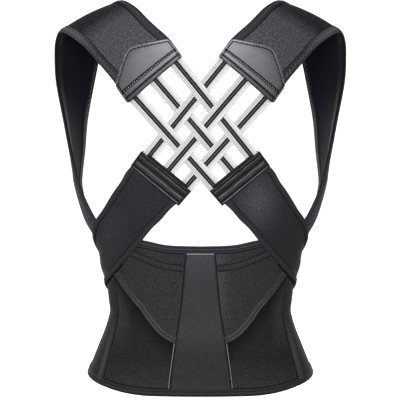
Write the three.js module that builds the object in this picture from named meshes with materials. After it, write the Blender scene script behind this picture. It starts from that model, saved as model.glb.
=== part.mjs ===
// Posture corrector in its worn form: waist belt, shoulder straps, cross straps and a woven back lattice.
// Millimetres, +Z up, -Y towards the back, origin at the centre of the waist.
import * as THREE from 'three';

// Driving dimensions: the body form
const waistWidth = 229; // inside the belt at its narrowest
const waistDepth = 166;
const chestRise = 290; // from the waist to the shoulder patches
const hipDrop = 115; // from the waist to just under the belt
const formRoundness = 2.3; // exponent of the body's cross-section, 2 is an ellipse

// Driving dimensions: the waist belt
const beltThickness = 3;
const beltRise = 79; // waist to the top edge at the back's centre
const beltDrop = 105; // waist to the bottom edge at the back's centre
const seamAngle = 65.5; // side seam at the waist, in degrees from the back's centre
const seamLean = 3.5; // degrees the seam swings back at the bottom edge
const lapAngle = 40; // lap of the two front wings, in degrees
const lapClimb = 13; // degrees over which the upper wing climbs onto the lower one
const lapClear = 3; // degrees between the climb and the lap
const hemWidth = 10;
const hemThickness = 1.2;
const centrePanelWidth = 40; // at the waist
const centrePanelThickness = 1.4;
const tensionPanelReach = 107; // half width of the two tension panels together
const tensionPanelThickness = 1.6;
const yokeThickness = 1.6;
const yokeReach = 93; // half width; the rest is under the cross strap
const stayWidth = 7;
const stayLength = 78;
const stayThickness = 1.2;
const stayOffset = 2.8; // from the side seam to the stay
const hookThickness = 1.2;
const hookInset = 0.12; // share of the belt's height left bare above and below the hook patch

// Driving dimensions: the shoulder straps
const shoulderHeight = 371; // waist to the strap's middle on top of the shoulder
const shoulderReach = 141; // body centre to the same point
const shoulderDepth = 104; // reach of the strap in front of the body's centre
const strapWidth = 86;
const strapThickness = 3;
const strapCrown = 3.9; // how far the free strap's edges sink towards the body
const bindingWidth = 10;
const bindingThickness = 0.9;
const patchLength = 48;
const patchSide = 24; // straight side of the patch before its point
const patchThickness = 2;
const patchRound = 0.18; // rounding of the patch's point, as a share of its half width
const patchRollShare = 0.6; // share of patchSide that the rolled lower end takes

// Driving dimensions: the cross straps
const crossHeight = 170; // waist to the middle of the upper end
const crossReach = 276; // from the back's centre round to the front end
const crossWidth = 73;
const crossThickness = 2.2;
const capLength = 20;
const capThickness = 2.6;
const capLip = 1.2; // length of the cap past the strap's end
const capSpread = 1.035; // width of the cap as a share of the strap's
const hookTabLength = 45;
const hookTabSpread = 0.9; // width of the hook tab as a share of the strap's

// Driving dimensions: the lattice
const bandWidth = 17.6;
const bandThickness = 1.2;
const bandPitchTop = 33;
const bandPitchBottom = 29.3;
const bandTuck = 9; // length of a band hidden in each end
const weaveRamp = [0.15, 0.72]; // nearness to a crossing, in pitches, over which a band rises
const backingShow = 2.4; // backing strip seen beyond the strap's end
const backingThickness = 1;
const backingSpread = 0.93; // width of the backing strip as a share of the strap's

// Clearances
const layerGap = 0.4; // between two layers of cloth
const seamGap = 0.4; // between two edges side by side

// Body sections: height as a share of hipDrop below the waist and of chestRise above it,
// half width and half depths as shares of the waist's
const bodySections = [
  { up: -1.0, wide: 1.341, back: 1.217, front: 1.15 },
  { up: -0.79, wide: 1.266, back: 1.169, front: 1.12 },
  { up: -0.452, wide: 1.132, back: 1.072, front: 1.07 },
  { up: -0.226, wide: 1.044, back: 1.034, front: 1.03 },
  { up: -0.043, wide: 0.998, back: 1.003, front: 1.0 },
  { up: 0.034, wide: 1.002, back: 1.008, front: 1.01 },
  { up: 0.09, wide: 1.01, back: 1.021, front: 1.03 },
  { up: 0.169, wide: 1.028, back: 1.052, front: 1.05 },
  { up: 0.245, wide: 1.06, back: 1.092, front: 1.09 },
  { up: 0.331, wide: 1.142, back: 1.134, front: 1.15 },
  { up: 0.372, wide: 1.227, back: 1.15, front: 1.19 },
  { up: 0.431, wide: 1.284, back: 1.183, front: 1.24 },
  { up: 0.552, wide: 1.367, back: 1.256, front: 1.3 },
  { up: 0.69, wide: 1.406, back: 1.289, front: 1.33 },
  { up: 0.862, wide: 1.41, back: 1.301, front: 1.33 },
  { up: 1.0, wide: 1.38, back: 1.277, front: 1.3 },
  { up: 1.17, wide: 1.3, back: 1.17, front: 1.2 },
];

// Belt edges round the body, in degrees from the back's centre: shares of beltRise and beltDrop
const beltEdges = [
  { angle: 0, rise: 1.0, drop: 1.0 },
  { angle: 24, rise: 1.02, drop: 0.999 },
  { angle: 40, rise: 1.098, drop: 0.996 },
  { angle: 52, rise: 1.11, drop: 0.971 },
  { angle: 65.5, rise: 1.07, drop: 0.916 },
  { angle: 80, rise: 1.01, drop: 0.846 },
  { angle: 110, rise: 0.86, drop: 0.74 },
  { angle: 150, rise: 0.7, drop: 0.64 },
  { angle: 205, rise: 0.66, drop: 0.62 },
];

// Half width of the centre panel by height: shares of the belt's height and of centrePanelWidth
const centreSections = [
  { up: 0.0, half: 0.94 },
  { up: 0.12, half: 0.88 },
  { up: 0.37, half: 0.71 },
  { up: 0.57, half: 0.565 },
  { up: 0.75, half: 0.485 },
  { up: 1.0, half: 0.4 },
];

// Tension panel from its inner end to its outer end: place as a share of tensionPanelReach,
// its lower and upper edges as shares of beltDrop and beltRise
const tensionSections = [
  { out: 0.21, low: -0.39, high: 0.61 },
  { out: 0.31, low: -0.38, high: 0.62 },
  { out: 0.46, low: -0.29, high: 0.665 },
  { out: 0.6, low: -0.13, high: 0.735 },
  { out: 0.7, low: 0.016, high: 0.79 },
  { out: 0.83, low: 0.215, high: 0.855 },
  { out: 0.94, low: 0.41, high: 0.87 },
  { out: 1.0, low: 0.53, high: 0.84 },
];

// Shoulder strap on the back of the body: place as shares of shoulderReach and shoulderHeight,
// slant of the line across it in degrees, width as a share of strapWidth
const strapBackRows = [
  { out: 0.397, up: 0.767, slant: -41, wide: 0.965 },
  { out: 0.512, up: 0.828, slant: -38, wide: 0.965 },
];

// Shoulder strap off the body: its middle as shares of shoulderReach, shoulderDepth and shoulderHeight,
// and the direction from its inner edge to its outer edge
const strapFreeRows = [
  { out: 0.681, fore: -0.846, up: 0.892, edgeOut: 0.72, edgeFore: 0.42, edgeUp: -0.55, wide: 1.0 },
  { out: 0.833, fore: -0.563, up: 0.965, edgeOut: 0.79, edgeFore: 0.38, edgeUp: -0.48, wide: 1.02 },
  { out: 1.006, fore: -0.183, up: 1.013, edgeOut: 0.885, edgeFore: 0.2, edgeUp: -0.425, wide: 1.03 },
  { out: 1.096, fore: 0.274, up: 0.981, edgeOut: 0.83, edgeFore: -0.38, edgeUp: -0.41, wide: 1.0 },
  { out: 1.174, fore: 0.548, up: 0.887, edgeOut: 0.65, edgeFore: -0.74, edgeUp: -0.16, wide: 0.97 },
  { out: 1.205, fore: 0.673, up: 0.803, edgeOut: 0.53, edgeFore: -0.81, edgeUp: -0.07, wide: 0.94 },
  { out: 1.195, fore: 0.495, up: 0.656, edgeOut: 0.27, edgeFore: -0.94, edgeUp: -0.05, wide: 0.91 },
  { out: 1.168, fore: 0.288, up: 0.546, edgeOut: 0.13, edgeFore: -0.98, edgeUp: -0.03, wide: 0.89 },
];

// Shoulder strap on the side of the body, from under the arm to its end on the belt: degrees from the
// back's centre, height as a share of shoulderHeight, slant of the line across it in degrees, width as a
// share of strapWidth
const strapSideRows = [
  { down: 0.0, angle: 89, up: 0.44, slant: 172, wide: 0.88 },
  { down: 0.27, angle: 87, up: 0.377, slant: 166, wide: 0.87 },
  { down: 0.52, angle: 84, up: 0.318, slant: 157, wide: 0.86 },
  { down: 0.78, angle: 80, up: 0.256, slant: 150, wide: 0.84 },
  { down: 1.0, angle: 75, up: 0.207, slant: 147, wide: 0.82 },
];

// Cross strap, from its upper end round to the front: place as shares of crossReach round the body
// and of crossHeight, width as a share of crossWidth
const crossSections = [
  { round: 0.15, up: 1.0, wide: 1.0 },
  { round: 0.222, up: 0.85, wide: 0.93 },
  { round: 0.299, up: 0.717, wide: 0.88 },
  { round: 0.372, up: 0.59, wide: 0.875 },
  { round: 0.431, up: 0.509, wide: 0.88 },
  { round: 0.508, up: 0.411, wide: 0.865 },
  { round: 0.583, up: 0.343, wide: 0.84 },
  { round: 0.674, up: 0.275, wide: 0.82 },
  { round: 0.78, up: 0.2, wide: 0.79 },
  { round: 0.895, up: 0.13, wide: 0.75 },
  { round: 1.0, up: 0.088, wide: 0.72 },
];

// Ribs of the cap and rolls of the patch: place along them and thickness, as shares
const capRibs = [
  { at: 0.0, thick: 0.55 },
  { at: 0.08, thick: 1.0 },
  { at: 0.22, thick: 0.6 },
  { at: 0.36, thick: 1.0 },
  { at: 0.5, thick: 0.55 },
  { at: 0.66, thick: 0.95 },
  { at: 0.8, thick: 0.5 },
  { at: 0.92, thick: 0.8 },
  { at: 1.0, thick: 0.4 },
];
const patchRolls = [
  { at: 0.0, thick: 0.7 },
  { at: 0.05, thick: 1.0 },
  { at: 0.1, thick: 0.6 },
  { at: 0.17, thick: 1.3 },
  { at: 0.24, thick: 0.6 },
  { at: 0.32, thick: 1.0 },
  { at: 0.66, thick: 1.0 },
  { at: 1.0, thick: 0.7 },
];

// Where the cross strap changes level: places across it, and two stretches of shares along it
const strapUnder = [-1, -0.3]; // the shoulder strap's end comes under it
const leavesBands = [0.06, 0.24]; // from the bands down to the strap and belt
const meetsTab = [0.66, 0.82]; // from the strap's end down to the hook tab

// Layers outwards from the body form, worked out from the thicknesses
const onBelt = beltThickness + layerGap;
const bandLevel = onBelt;
const weaveLift = bandThickness / 2 + 1.3 * layerGap; // half the step from one band to the band over it
const onBands = bandLevel + bandThickness + 2 * layerGap;
const onHem = onBelt + hemThickness + layerGap;
const onPanels = onBelt + tensionPanelThickness + layerGap;
const onShoulderStrap = onHem + strapThickness + 2 * layerGap;
const onHookTab = onBelt + hookThickness + 3 * layerGap;
const wingLift = beltThickness + hookThickness + 3 * layerGap;

// Materials
const cloth = (name, color, roughness) => {
  const material = new THREE.MeshStandardMaterial({ color, roughness, metalness: 0 });
  material.name = name;
  return material;
};
const beltCloth = cloth('belt_cloth', 0x323236, 0.9);
const panelCloth = cloth('panel_cloth', 0x45454a, 0.88);
const strapCloth = cloth('strap_cloth', 0x48484d, 0.9);
const bindingTape = cloth('binding_tape', 0x2c2c31, 0.85);
const patchLeather = cloth('patch_leather', 0x7c7e83, 0.55);
const capLeather = cloth('cap_leather', 0x35343a, 0.6);
const bandElastic = cloth('band_elastic', 0xe8e8ea, 0.75);
const hookTape = cloth('hook_tape', 0x202023, 0.95);

// Small helpers
const rad = THREE.MathUtils.degToRad;
const deg = THREE.MathUtils.radToDeg;
const mix = THREE.MathUtils.lerp;
const clamp = THREE.MathUtils.clamp;
const smooth = THREE.MathUtils.smoothstep;

/** Value of a table's column at x, along a smooth curve through its rows. */
function along(rows, key, column, x) {
  const last = rows.length - 1;
  let i = 0;
  while (i < last - 1 && x > rows[i + 1][key]) i += 1;
  const low = rows[i];
  const high = rows[i + 1];
  const span = high[key] - low[key];
  const t = clamp((x - low[key]) / span, 0, 1);
  const before = rows[Math.max(i - 1, 0)];
  const after = rows[Math.min(i + 2, last)];
  const slopeLow = (high[column] - before[column]) / (high[key] - before[key]);
  const slopeHigh = (after[column] - low[column]) / (after[key] - low[key]);
  const h = t * t * (3 - 2 * t);
  const pull = t * (1 - t) * (1 - t) * slopeLow * span - t * t * (1 - t) * slopeHigh * span;
  return mix(low[column], high[column], h) + pull;
}

/** Half width and half depth of the body form at height z. */
function section(z, front) {
  const up = z < 0 ? z / hipDrop : z / chestRise;
  return {
    a: along(bodySections, 'up', 'wide', up) * waistWidth / 2,
    b: along(bodySections, 'up', front ? 'front' : 'back', up) * waistDepth / 2,
  };
}

/** Point of the body form at an angle from the back's centre, at height z and a distance outwards. */
function onBody(angle, z, out) {
  const s = Math.sin(rad(angle));
  const c = Math.cos(rad(angle));
  const { a, b } = section(z, c < 0);
  const reach = (Math.abs(s) / (a + out)) ** formRoundness + (Math.abs(c) / (b + out)) ** formRoundness;
  const r = reach ** (-1 / formRoundness);
  return new THREE.Vector3(r * s, -r * c, z);
}

/** Angle on the body's back at height z where x has the given value. */
function angleAtX(x, z, out) {
  const { a, b } = section(z, false);
  const share = clamp(Math.abs(x) / (a + out), 0, 0.999);
  const y = (b + out) * (1 - share ** formRoundness) ** (1 / formRoundness);
  return deg(Math.atan2(x, y));
}

/** Angle reached by walking a length round the body at height z, from a start angle. */
function walk(start, length, z, out) {
  const steps = Math.max(4, Math.ceil(Math.abs(length) / 8));
  let angle = start;
  for (let i = 0; i < steps; i += 1) {
    const probe = 0.5;
    const rate = onBody(angle + probe, z, out).distanceTo(onBody(angle - probe, z, out)) / (2 * probe);
    angle += length / steps / rate;
  }
  return angle;
}

/** Closed sheet: a function of a length and a place across gives the inner and outer point of each pair. */
function sheet(name, material, lengths, places, at) {
  const nu = lengths.length - 1;
  const nv = places.length - 1;
  const points = [];
  for (const side of [0, 1]) {
    for (const u of lengths) {
      for (const v of places) {
        const p = at(u, v)[side];
        points.push(p.x, p.y, p.z);
      }
    }
  }
  const layer = (nu + 1) * (nv + 1);
  const id = (side, i, j) => side * layer + i * (nv + 1) + j;
  const faces = [];
  const quad = (a, b, c, d) => faces.push(a, b, c, a, c, d);
  for (let i = 0; i < nu; i += 1) {
    for (let j = 0; j < nv; j += 1) {
      quad(id(1, i, j), id(1, i + 1, j), id(1, i + 1, j + 1), id(1, i, j + 1));
      quad(id(0, i, j), id(0, i, j + 1), id(0, i + 1, j + 1), id(0, i + 1, j));
    }
    quad(id(0, i, 0), id(0, i + 1, 0), id(1, i + 1, 0), id(1, i, 0));
    quad(id(1, i, nv), id(1, i + 1, nv), id(0, i + 1, nv), id(0, i, nv));
  }
  for (let j = 0; j < nv; j += 1) {
    quad(id(1, 0, j), id(1, 0, j + 1), id(0, 0, j + 1), id(0, 0, j));
    quad(id(0, nu, j), id(0, nu, j + 1), id(1, nu, j + 1), id(1, nu, j));
  }
  if (volumeOf(points, faces) < 0) {
    for (let f = 0; f < faces.length; f += 3) [faces[f + 1], faces[f + 2]] = [faces[f + 2], faces[f + 1]];
  }
  const geometry = new THREE.BufferGeometry();
  geometry.setAttribute('position', new THREE.Float32BufferAttribute(points, 3));
  geometry.setIndex(faces);
  geometry.computeVertexNormals();
  const mesh = new THREE.Mesh(geometry, material);
  mesh.name = name;
  return mesh;
}

/** Signed volume of a closed triangle mesh. */
function volumeOf(points, faces) {
  const p = (i) => new THREE.Vector3(points[3 * i], points[3 * i + 1], points[3 * i + 2]);
  let total = 0;
  for (let f = 0; f < faces.length; f += 3) {
    total += p(faces[f]).dot(p(faces[f + 1]).cross(p(faces[f + 2]))) / 6;
  }
  return total;
}

/** Evenly spaced values from low to high. */
const spread = (low, high, count) => Array.from({ length: count + 1 }, (_, i) => mix(low, high, i / count));

/** Evenly spaced shares from 0 to 1. */
const even = (count) => spread(0, 1, count);

/** The same point on the given side of the body, 1 for +X and -1 for -X. */
const toSide = (p, side) => new THREE.Vector3(p.x * side, p.y, p.z);

// The waist belt

/** Height of the belt at an angle, at a share of the way up from its bottom edge. */
function beltHeight(angle, share) {
  const turn = Math.abs(angle);
  const top = along(beltEdges, 'angle', 'rise', turn) * beltRise;
  const bottom = -along(beltEdges, 'angle', 'drop', turn) * beltDrop;
  return mix(bottom, top, share);
}

/** Angle of the side seam at height z. */
const seamAt = (z) => seamAngle + seamLean * clamp(z / beltDrop, -1.2, 1);

/** Angle that spans a short length round the waist. */
const spanAngle = (length) => deg(2 * length / waistWidth);

const beltColumns = even(28);

function backPanel() {
  return sheet('back_panel', beltCloth, beltColumns, even(14), (u, v) => {
    const flat = mix(-seamAngle, seamAngle, u);
    const z = beltHeight(flat, v);
    const angle = flat * seamAt(z) / seamAngle;
    return [onBody(angle, z, 0), onBody(angle, z, beltThickness)];
  });
}

/** One side and front of the belt; the upper wing climbs over the lower one where they lap. */
function wing(name, side, over) {
  const end = 180 + lapAngle / 2;
  const lapStart = 180 - lapAngle / 2;
  return sheet(name, beltCloth, even(20), even(9), (u, v) => {
    const flat = mix(seamAngle, end, u);
    const z = beltHeight(flat, v);
    const swing = (seamAt(z) - seamAngle) * (1 - u) ** 2;
    const angle = flat + swing + spanAngle(seamGap) * (1 - u);
    const lift = over ? wingLift * smooth(angle, lapStart - lapClimb - lapClear, lapStart - lapClear) : 0;
    return [toSide(onBody(angle, z, lift), side), toSide(onBody(angle, z, lift + beltThickness), side)];
  });
}

function closureHookPatch() {
  const half = lapAngle / 2 - spanAngle(seamGap) * 4;
  return sheet('closure_hook_patch', hookTape, even(6), even(4), (u, v) => {
    const angle = 180 + mix(-half, half, u);
    const z = beltHeight(180, mix(hookInset, 1 - hookInset, v));
    const low = onBelt + layerGap / 2;
    return [onBody(angle, z, low), onBody(angle, z, low + hookThickness)];
  });
}

/** Bound edge of the back panel, at its top or its bottom. */
function hem(name, top) {
  return sheet(name, bindingTape, beltColumns, even(1), (u, v) => {
    const flat = mix(-seamAngle, seamAngle, u);
    const edge = beltHeight(flat, top ? 1 : 0);
    const z = edge + (top ? -1 : 1) * hemWidth * (1 - v);
    const angle = flat * seamAt(z) / seamAngle;
    return [onBody(angle, z, onBelt), onBody(angle, z, onBelt + hemThickness)];
  });
}

/** Half width of the centre panel at a height. */
function centreHalf(z) {
  const share = (z + beltDrop) / (beltRise + beltDrop);
  return along(centreSections, 'up', 'half', share) * centrePanelWidth;
}

function centrePanel() {
  return sheet('centre_panel', panelCloth, even(12), even(6), (u, v) => {
    const across = mix(-1, 1, v);
    const low = beltHeight(0, 0) + hemWidth + seamGap;
    const high = beltHeight(0, 1) - hemWidth - seamGap;
    const z = mix(low, high, u);
    const angle = angleAtX(across * centreHalf(z), z, onBelt);
    return [onBody(angle, z, onBelt), onBody(angle, z, onBelt + centrePanelThickness)];
  });
}

/** Upper edge of the tension panel, and lower edge of the yoke over it, at a place across the back. */
const tensionTop = (x) => along(tensionSections, 'out', 'high', x / tensionPanelReach) * beltRise;

/** Lower edge of the tension panel at a place across the back. */
function tensionFoot(x) {
  const low = along(tensionSections, 'out', 'low', x / tensionPanelReach);
  return low < 0 ? low * beltDrop : low * beltRise;
}

/** Height of the top hem's lower edge at a place across the back. */
function hemFoot(x) {
  let z = beltRise - hemWidth;
  for (let i = 0; i < 4; i += 1) {
    const flat = angleAtX(x, z, onBelt) * seamAngle / seamAt(z);
    z = beltHeight(flat, 1) - hemWidth;
  }
  return z;
}

/** Panel sewn on the back beside the centre panel, out to a reach and between two edges. */
function besideCentre(name, reach, rows, edgeBelow, edgeAbove, thickness, side) {
  return sheet(name, beltCloth, even(10), even(rows), (u, v) => {
    let x = mix(centreHalf(0), reach, u);
    let z = 0;
    for (let i = 0; i < 6; i += 1) {
      z = mix(edgeBelow(x), edgeAbove(x), v);
      x = mix(centreHalf(z) + seamGap, reach, u);
    }
    const angle = angleAtX(x, z, onBelt);
    return [toSide(onBody(angle, z, onBelt), side), toSide(onBody(angle, z, onBelt + thickness), side)];
  });
}

function tensionPanel(name, side) {
  return besideCentre(name, tensionPanelReach, 7, tensionFoot, tensionTop, tensionPanelThickness, side);
}

/** Panel between the tension panel and the top hem. */
function yoke(name, side) {
  const low = (x) => tensionTop(x) + 2 * seamGap;
  const high = (x) => hemFoot(x) - 2 * seamGap;
  return besideCentre(name, yokeReach, 2, low, high, yokeThickness, side);
}

function sideStay(name, side) {
  const low = beltHeight(seamAngle, 0) + hemWidth + seamGap;
  return sheet(name, bindingTape, even(8), even(1), (u, v) => {
    const z = low + u * stayLength;
    const start = seamAt(z) + spanAngle(stayOffset);
    const angle = walk(start, v * stayWidth, z, onBelt);
    const out = onBelt + layerGap;
    return [toSide(onBody(angle, z, out), side), toSide(onBody(angle, z, out + stayThickness), side)];
  });
}

// The shoulder straps

/** Inner point and outward direction of a strap row that lies on the body. */
function bodyRow(angle, z, slant, half, out) {
  const rise = half * Math.sin(rad(slant));
  const turned = walk(angle, half * Math.cos(rad(slant)), z + rise, out);
  const base = onBody(turned, z + rise, out);
  return { base, up: onBody(turned, z + rise, out + 1).sub(base).normalize() };
}

/** Rows of the shoulder strap from its patch to its end on the belt, each a function of the place across. */
function strapRows() {
  const rows = [];
  for (const r of strapBackRows) {
    const z = r.up * shoulderHeight;
    const angle = angleAtX(r.out * shoulderReach, z, onBands);
    rows.push((v) => bodyRow(angle, z, r.slant, v * r.wide * strapWidth / 2, onBands));
  }
  const middle = (r) => new THREE.Vector3(r.out * shoulderReach, r.fore * shoulderDepth, r.up * shoulderHeight);
  const backEnd = rows[rows.length - 1](0).base;
  const sideStart = strapSideRows[0];
  const sideEnd = bodyRow(sideStart.angle, sideStart.up * shoulderHeight, 0, 0, onHem).base;
  const middles = [backEnd, ...strapFreeRows.map(middle), sideEnd];
  strapFreeRows.forEach((r, i) => {
    const edge = new THREE.Vector3(r.edgeOut, r.edgeFore, r.edgeUp).normalize();
    const travel = middles[i + 2].clone().sub(middles[i]).normalize();
    const up = edge.clone().cross(travel).normalize();
    rows.push((v) => ({
      base: middles[i + 1].clone().addScaledVector(edge, v * r.wide * strapWidth / 2).addScaledVector(up, -strapCrown * v * v),
      up: up.clone().addScaledVector(edge, 2 * strapCrown * v / strapWidth).normalize(),
    }));
  });
  for (const down of even(10)) {
    const [angle, up, slant, wide] = ['angle', 'up', 'slant', 'wide'].map((c) => along(strapSideRows, 'down', c, down));
    rows.push((v) => bodyRow(angle, up * shoulderHeight, slant, v * wide * strapWidth / 2, onHem));
  }
  return rows;
}

/** Point between four others on a smooth curve, at share t from b to c. */
function between(a, b, c, d, t) {
  const curve = new THREE.CatmullRomCurve3([a, b, c, d], false, 'centripetal');
  return curve.getPoint((1 + t) / 3);
}

const shoulderRows = strapRows();
const rowPlaces = placesAlong(shoulderRows);

/** Length along the strap's middle at each of its rows. */
function placesAlong(rows) {
  const places = [0];
  for (let i = 1; i < rows.length; i += 1) {
    places.push(places[i - 1] + rows[i](0).base.distanceTo(rows[i - 1](0).base));
  }
  return places;
}

const strapLength = rowPlaces[rowPlaces.length - 1];

/** Point of the shoulder strap at a length along it, a place across (-1 to 1) and a height over its inner face. */
function onStrap(s, v, height) {
  const last = shoulderRows.length - 1;
  let i = 0;
  while (i < last - 1 && s > rowPlaces[i + 1]) i += 1;
  const t = (s - rowPlaces[i]) / (rowPlaces[i + 1] - rowPlaces[i]);
  const four = [i - 1, i, i + 1, i + 2].map((k) => shoulderRows[clamp(k, 0, last)](v));
  if (i === 0) four[0].base = four[1].base.clone().multiplyScalar(2).sub(four[2].base);
  if (i === last - 1) four[3].base = four[2].base.clone().multiplyScalar(2).sub(four[1].base);
  const base = between(...four.map((f) => f.base), t);
  const up = four[1].up.clone().lerp(four[2].up, clamp(t, 0, 1)).normalize();
  return base.addScaledVector(up, height);
}

/** Sheet that follows the shoulder strap between two heights over its inner face. */
function alongStrap(name, material, lengths, places, side, low, high) {
  return sheet(name, material, lengths, places, (s, v) => [
    toSide(onStrap(s, v, low), side),
    toSide(onStrap(s, v, high), side),
  ]);
}

const bindingStart = patchSide + (patchLength - patchSide) * bindingWidth / (strapWidth / 2) + 5 * seamGap;
const bindingEnd = strapLength - 0.85 * crossWidth; // where the cross strap covers it
const bindingStations = spread(bindingStart, bindingEnd, 26);
const bindingEdge = 1 - 2 * bindingWidth / strapWidth;

function shoulderStrap(name, side) {
  const lengths = [
    ...spread(0, bindingStart, 3).slice(0, -1),
    ...bindingStations,
    ...spread(bindingEnd, strapLength, 4).slice(1),
  ];
  const places = [-1, -bindingEdge, 0, bindingEdge, 1];
  return alongStrap(name, strapCloth, lengths, places, side, 0, strapThickness);
}

function shoulderBinding(name, side, edge) {
  const places = [edge * bindingEdge, edge];
  const low = strapThickness + 1.5 * layerGap;
  return alongStrap(name, bindingTape, bindingStations, places, side, low, low + bindingThickness);
}

/** Length of the patch along the strap at a place across it: straight sides and a rounded point. */
function patchReach(v) {
  const soft = Math.hypot(v, patchRound) - patchRound;
  const scale = soft / (Math.hypot(1, patchRound) - patchRound);
  return mix(patchLength, patchSide, scale);
}

function shoulderPatch(name, side) {
  const low = strapThickness + layerGap;
  return sheet(name, patchLeather, patchRolls.map((r) => r.at), even(10), (u, v) => {
    const across = mix(-1, 1, v);
    const straight = Math.min(1, u / patchRolls[5].at);
    const past = Math.max(0, (u - patchRolls[5].at) / (1 - patchRolls[5].at));
    const rollEnd = patchRollShare * patchSide;
    const s = straight * rollEnd + past * (patchReach(across) - rollEnd);
    const thick = along(patchRolls, 'at', 'thick', u) * patchThickness;
    return [toSide(onStrap(s, across, low), side), toSide(onStrap(s, across, low + thick), side)];
  });
}

// The cross straps

/** Middle of the cross strap at a share of the way along it: length round the body and height. */
function crossMiddle(share) {
  const round = mix(crossSections[0].round, 1, share);
  return { round: round * crossReach, z: along(crossSections, 'round', 'up', round) * crossHeight, key: round };
}

const crossSpan = (() => {
  let total = 0;
  for (let i = 0; i < 40; i += 1) {
    const p = crossMiddle(i / 40);
    const q = crossMiddle((i + 1) / 40);
    total += Math.hypot(q.round - p.round, q.z - p.z);
  }
  return total;
})();

/** Point of the cross strap at a share along it, a place across (-1 to 1) and a height over its inner face. */
function onCross(share, v, height) {
  const m = crossMiddle(share);
  const probe = 0.02;
  const ahead = crossMiddle(Math.min(share + probe, 1));
  const behind = crossMiddle(Math.max(share - probe, 0));
  const run = new THREE.Vector2(ahead.round - behind.round, ahead.z - behind.z).normalize();
  const half = v * along(crossSections, 'round', 'wide', m.key) * crossWidth / 2;
  const z = m.z + half * run.x;
  const overStrap = mix(onPanels, onShoulderStrap, smooth(v, ...strapUnder));
  const toBelt = smooth(share, ...leavesBands);
  const toTab = smooth(share, ...meetsTab);
  const out = mix(mix(onBands, overStrap, toBelt), onHookTab, toTab);
  return onBody(walk(0, m.round - half * run.y, z, out), z, out + height);
}

/** Sheet that follows the cross strap between two heights over its inner face. */
function alongCross(name, material, shares, places, side, low, high) {
  return sheet(name, material, shares, places, (share, v) => [
    toSide(onCross(share, v, low), side),
    toSide(onCross(share, v, high), side),
  ]);
}

const crossShares = spread((capLength + 2 * seamGap) / crossSpan, 1, 25);
const crossEdge = 1 - 2 * bindingWidth / crossWidth;

function crossStrap(name, side) {
  const places = [-1, -crossEdge, 0, crossEdge, 1];
  return alongCross(name, strapCloth, [0, ...crossShares], places, side, 0, crossThickness);
}

function crossBinding(name, side, edge) {
  const low = crossThickness + layerGap;
  return alongCross(name, bindingTape, crossShares, [edge * crossEdge, edge], side, low, low + bindingThickness);
}

function crossCap(name, side) {
  const low = crossThickness + layerGap;
  return sheet(name, capLeather, capRibs.map((r) => r.at), even(5), (u, v) => {
    const share = mix(-capLip, capLength, u) / crossSpan;
    const across = mix(-1, 1, v) * capSpread;
    const thick = along(capRibs, 'at', 'thick', u) * capThickness;
    return [toSide(onCross(share, across, low), side), toSide(onCross(share, across, low + thick), side)];
  });
}

function hookTab(name, side) {
  const low = onBelt + layerGap - onHookTab;
  return sheet(name, hookTape, even(5), even(2), (u, v) => {
    const share = 1 - mix(hookTabLength, 1, u) / crossSpan;
    const across = mix(-1, 1, v) * hookTabSpread;
    return [
      toSide(onCross(share, across, low), side),
      toSide(onCross(share, across, low + hookThickness), side),
    ];
  });
}

// The lattice

/** Point on the back at x and z, a distance out from the body form. */
const onBack = (x, z, out) => onBody(angleAtX(x, z, out), z, out);

const patchEnd = {
  x: strapBackRows[0].out * shoulderReach,
  z: strapBackRows[0].up * shoulderHeight,
  run: new THREE.Vector2(Math.cos(rad(strapBackRows[0].slant)), Math.sin(rad(strapBackRows[0].slant))),
};
const capEnd = (() => {
  const a = crossMiddle(0);
  const b = crossMiddle(0.04);
  const run = new THREE.Vector2(b.round - a.round, b.z - a.z).normalize();
  return { x: a.round, z: a.z, run: new THREE.Vector2(-run.y, run.x) };
})();

/** Ends of a band at x and z, from the upper strap on one side to the cap on the other; side 1 ends at +X. */
function bandEnds(side, step) {
  const top = new THREE.Vector2(
    -side * (patchEnd.x - step * bandPitchTop * patchEnd.run.x),
    patchEnd.z - step * bandPitchTop * patchEnd.run.y,
  );
  const bottom = new THREE.Vector2(
    side * (capEnd.x + step * bandPitchBottom * capEnd.run.x),
    capEnd.z + step * bandPitchBottom * capEnd.run.y,
  );
  const run = bottom.clone().sub(top).normalize();
  return { top: top.addScaledVector(run, -bandTuck), bottom: bottom.addScaledVector(run, bandTuck), run };
}

/** Share along the first line where it meets the second. */
function meeting(p, q) {
  const d = p.bottom.clone().sub(p.top);
  const e = q.bottom.clone().sub(q.top);
  const f = q.top.clone().sub(p.top);
  return (f.x * e.y - f.y * e.x) / (d.x * e.y - d.y * e.x);
}

/** One band, lifted where it goes over a band of the other family and lowered where it goes under. */
function band(name, side, step) {
  const ends = bandEnds(side, step);
  const length = ends.top.distanceTo(ends.bottom);
  const sideways = new THREE.Vector2(-ends.run.y, ends.run.x);
  const crossings = [-1, 0, 1].map((other) => ({
    at: meeting(ends, bandEnds(-side, other)) * length,
    over: (step + other) % 2 === 0 ? side : -side,
  }));
  const pitch = Math.abs(crossings[2].at - crossings[0].at) / 2;
  return sheet(name, bandElastic, even(20), even(1), (u, v) => {
    const s = u * length;
    const place = ends.top.clone().addScaledVector(ends.run, s).addScaledVector(sideways, mix(-0.5, 0.5, v) * bandWidth);
    let lift = 0;
    for (const c of crossings) {
      const away = Math.abs(s - c.at) / pitch;
      lift += c.over * weaveLift * smooth(1 - away, ...weaveRamp);
    }
    const low = bandLevel + lift;
    return [onBack(place.x, place.y, low), onBack(place.x, place.y, low + bandThickness)];
  });
}

/** Dark strip behind the bands' ends, seen between them at the strap's end. */
function upperBacking(name, side) {
  const down = onBands - (bandLevel - 2.2 * layerGap);
  return sheet(name, hookTape, even(5), even(1), (u, v) => {
    const s = mix(-backingShow, bandTuck, v);
    const across = mix(-backingSpread, backingSpread, u);
    return [toSide(onStrap(s, across, -down - backingThickness), side), toSide(onStrap(s, across, -down), side)];
  });
}

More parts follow.
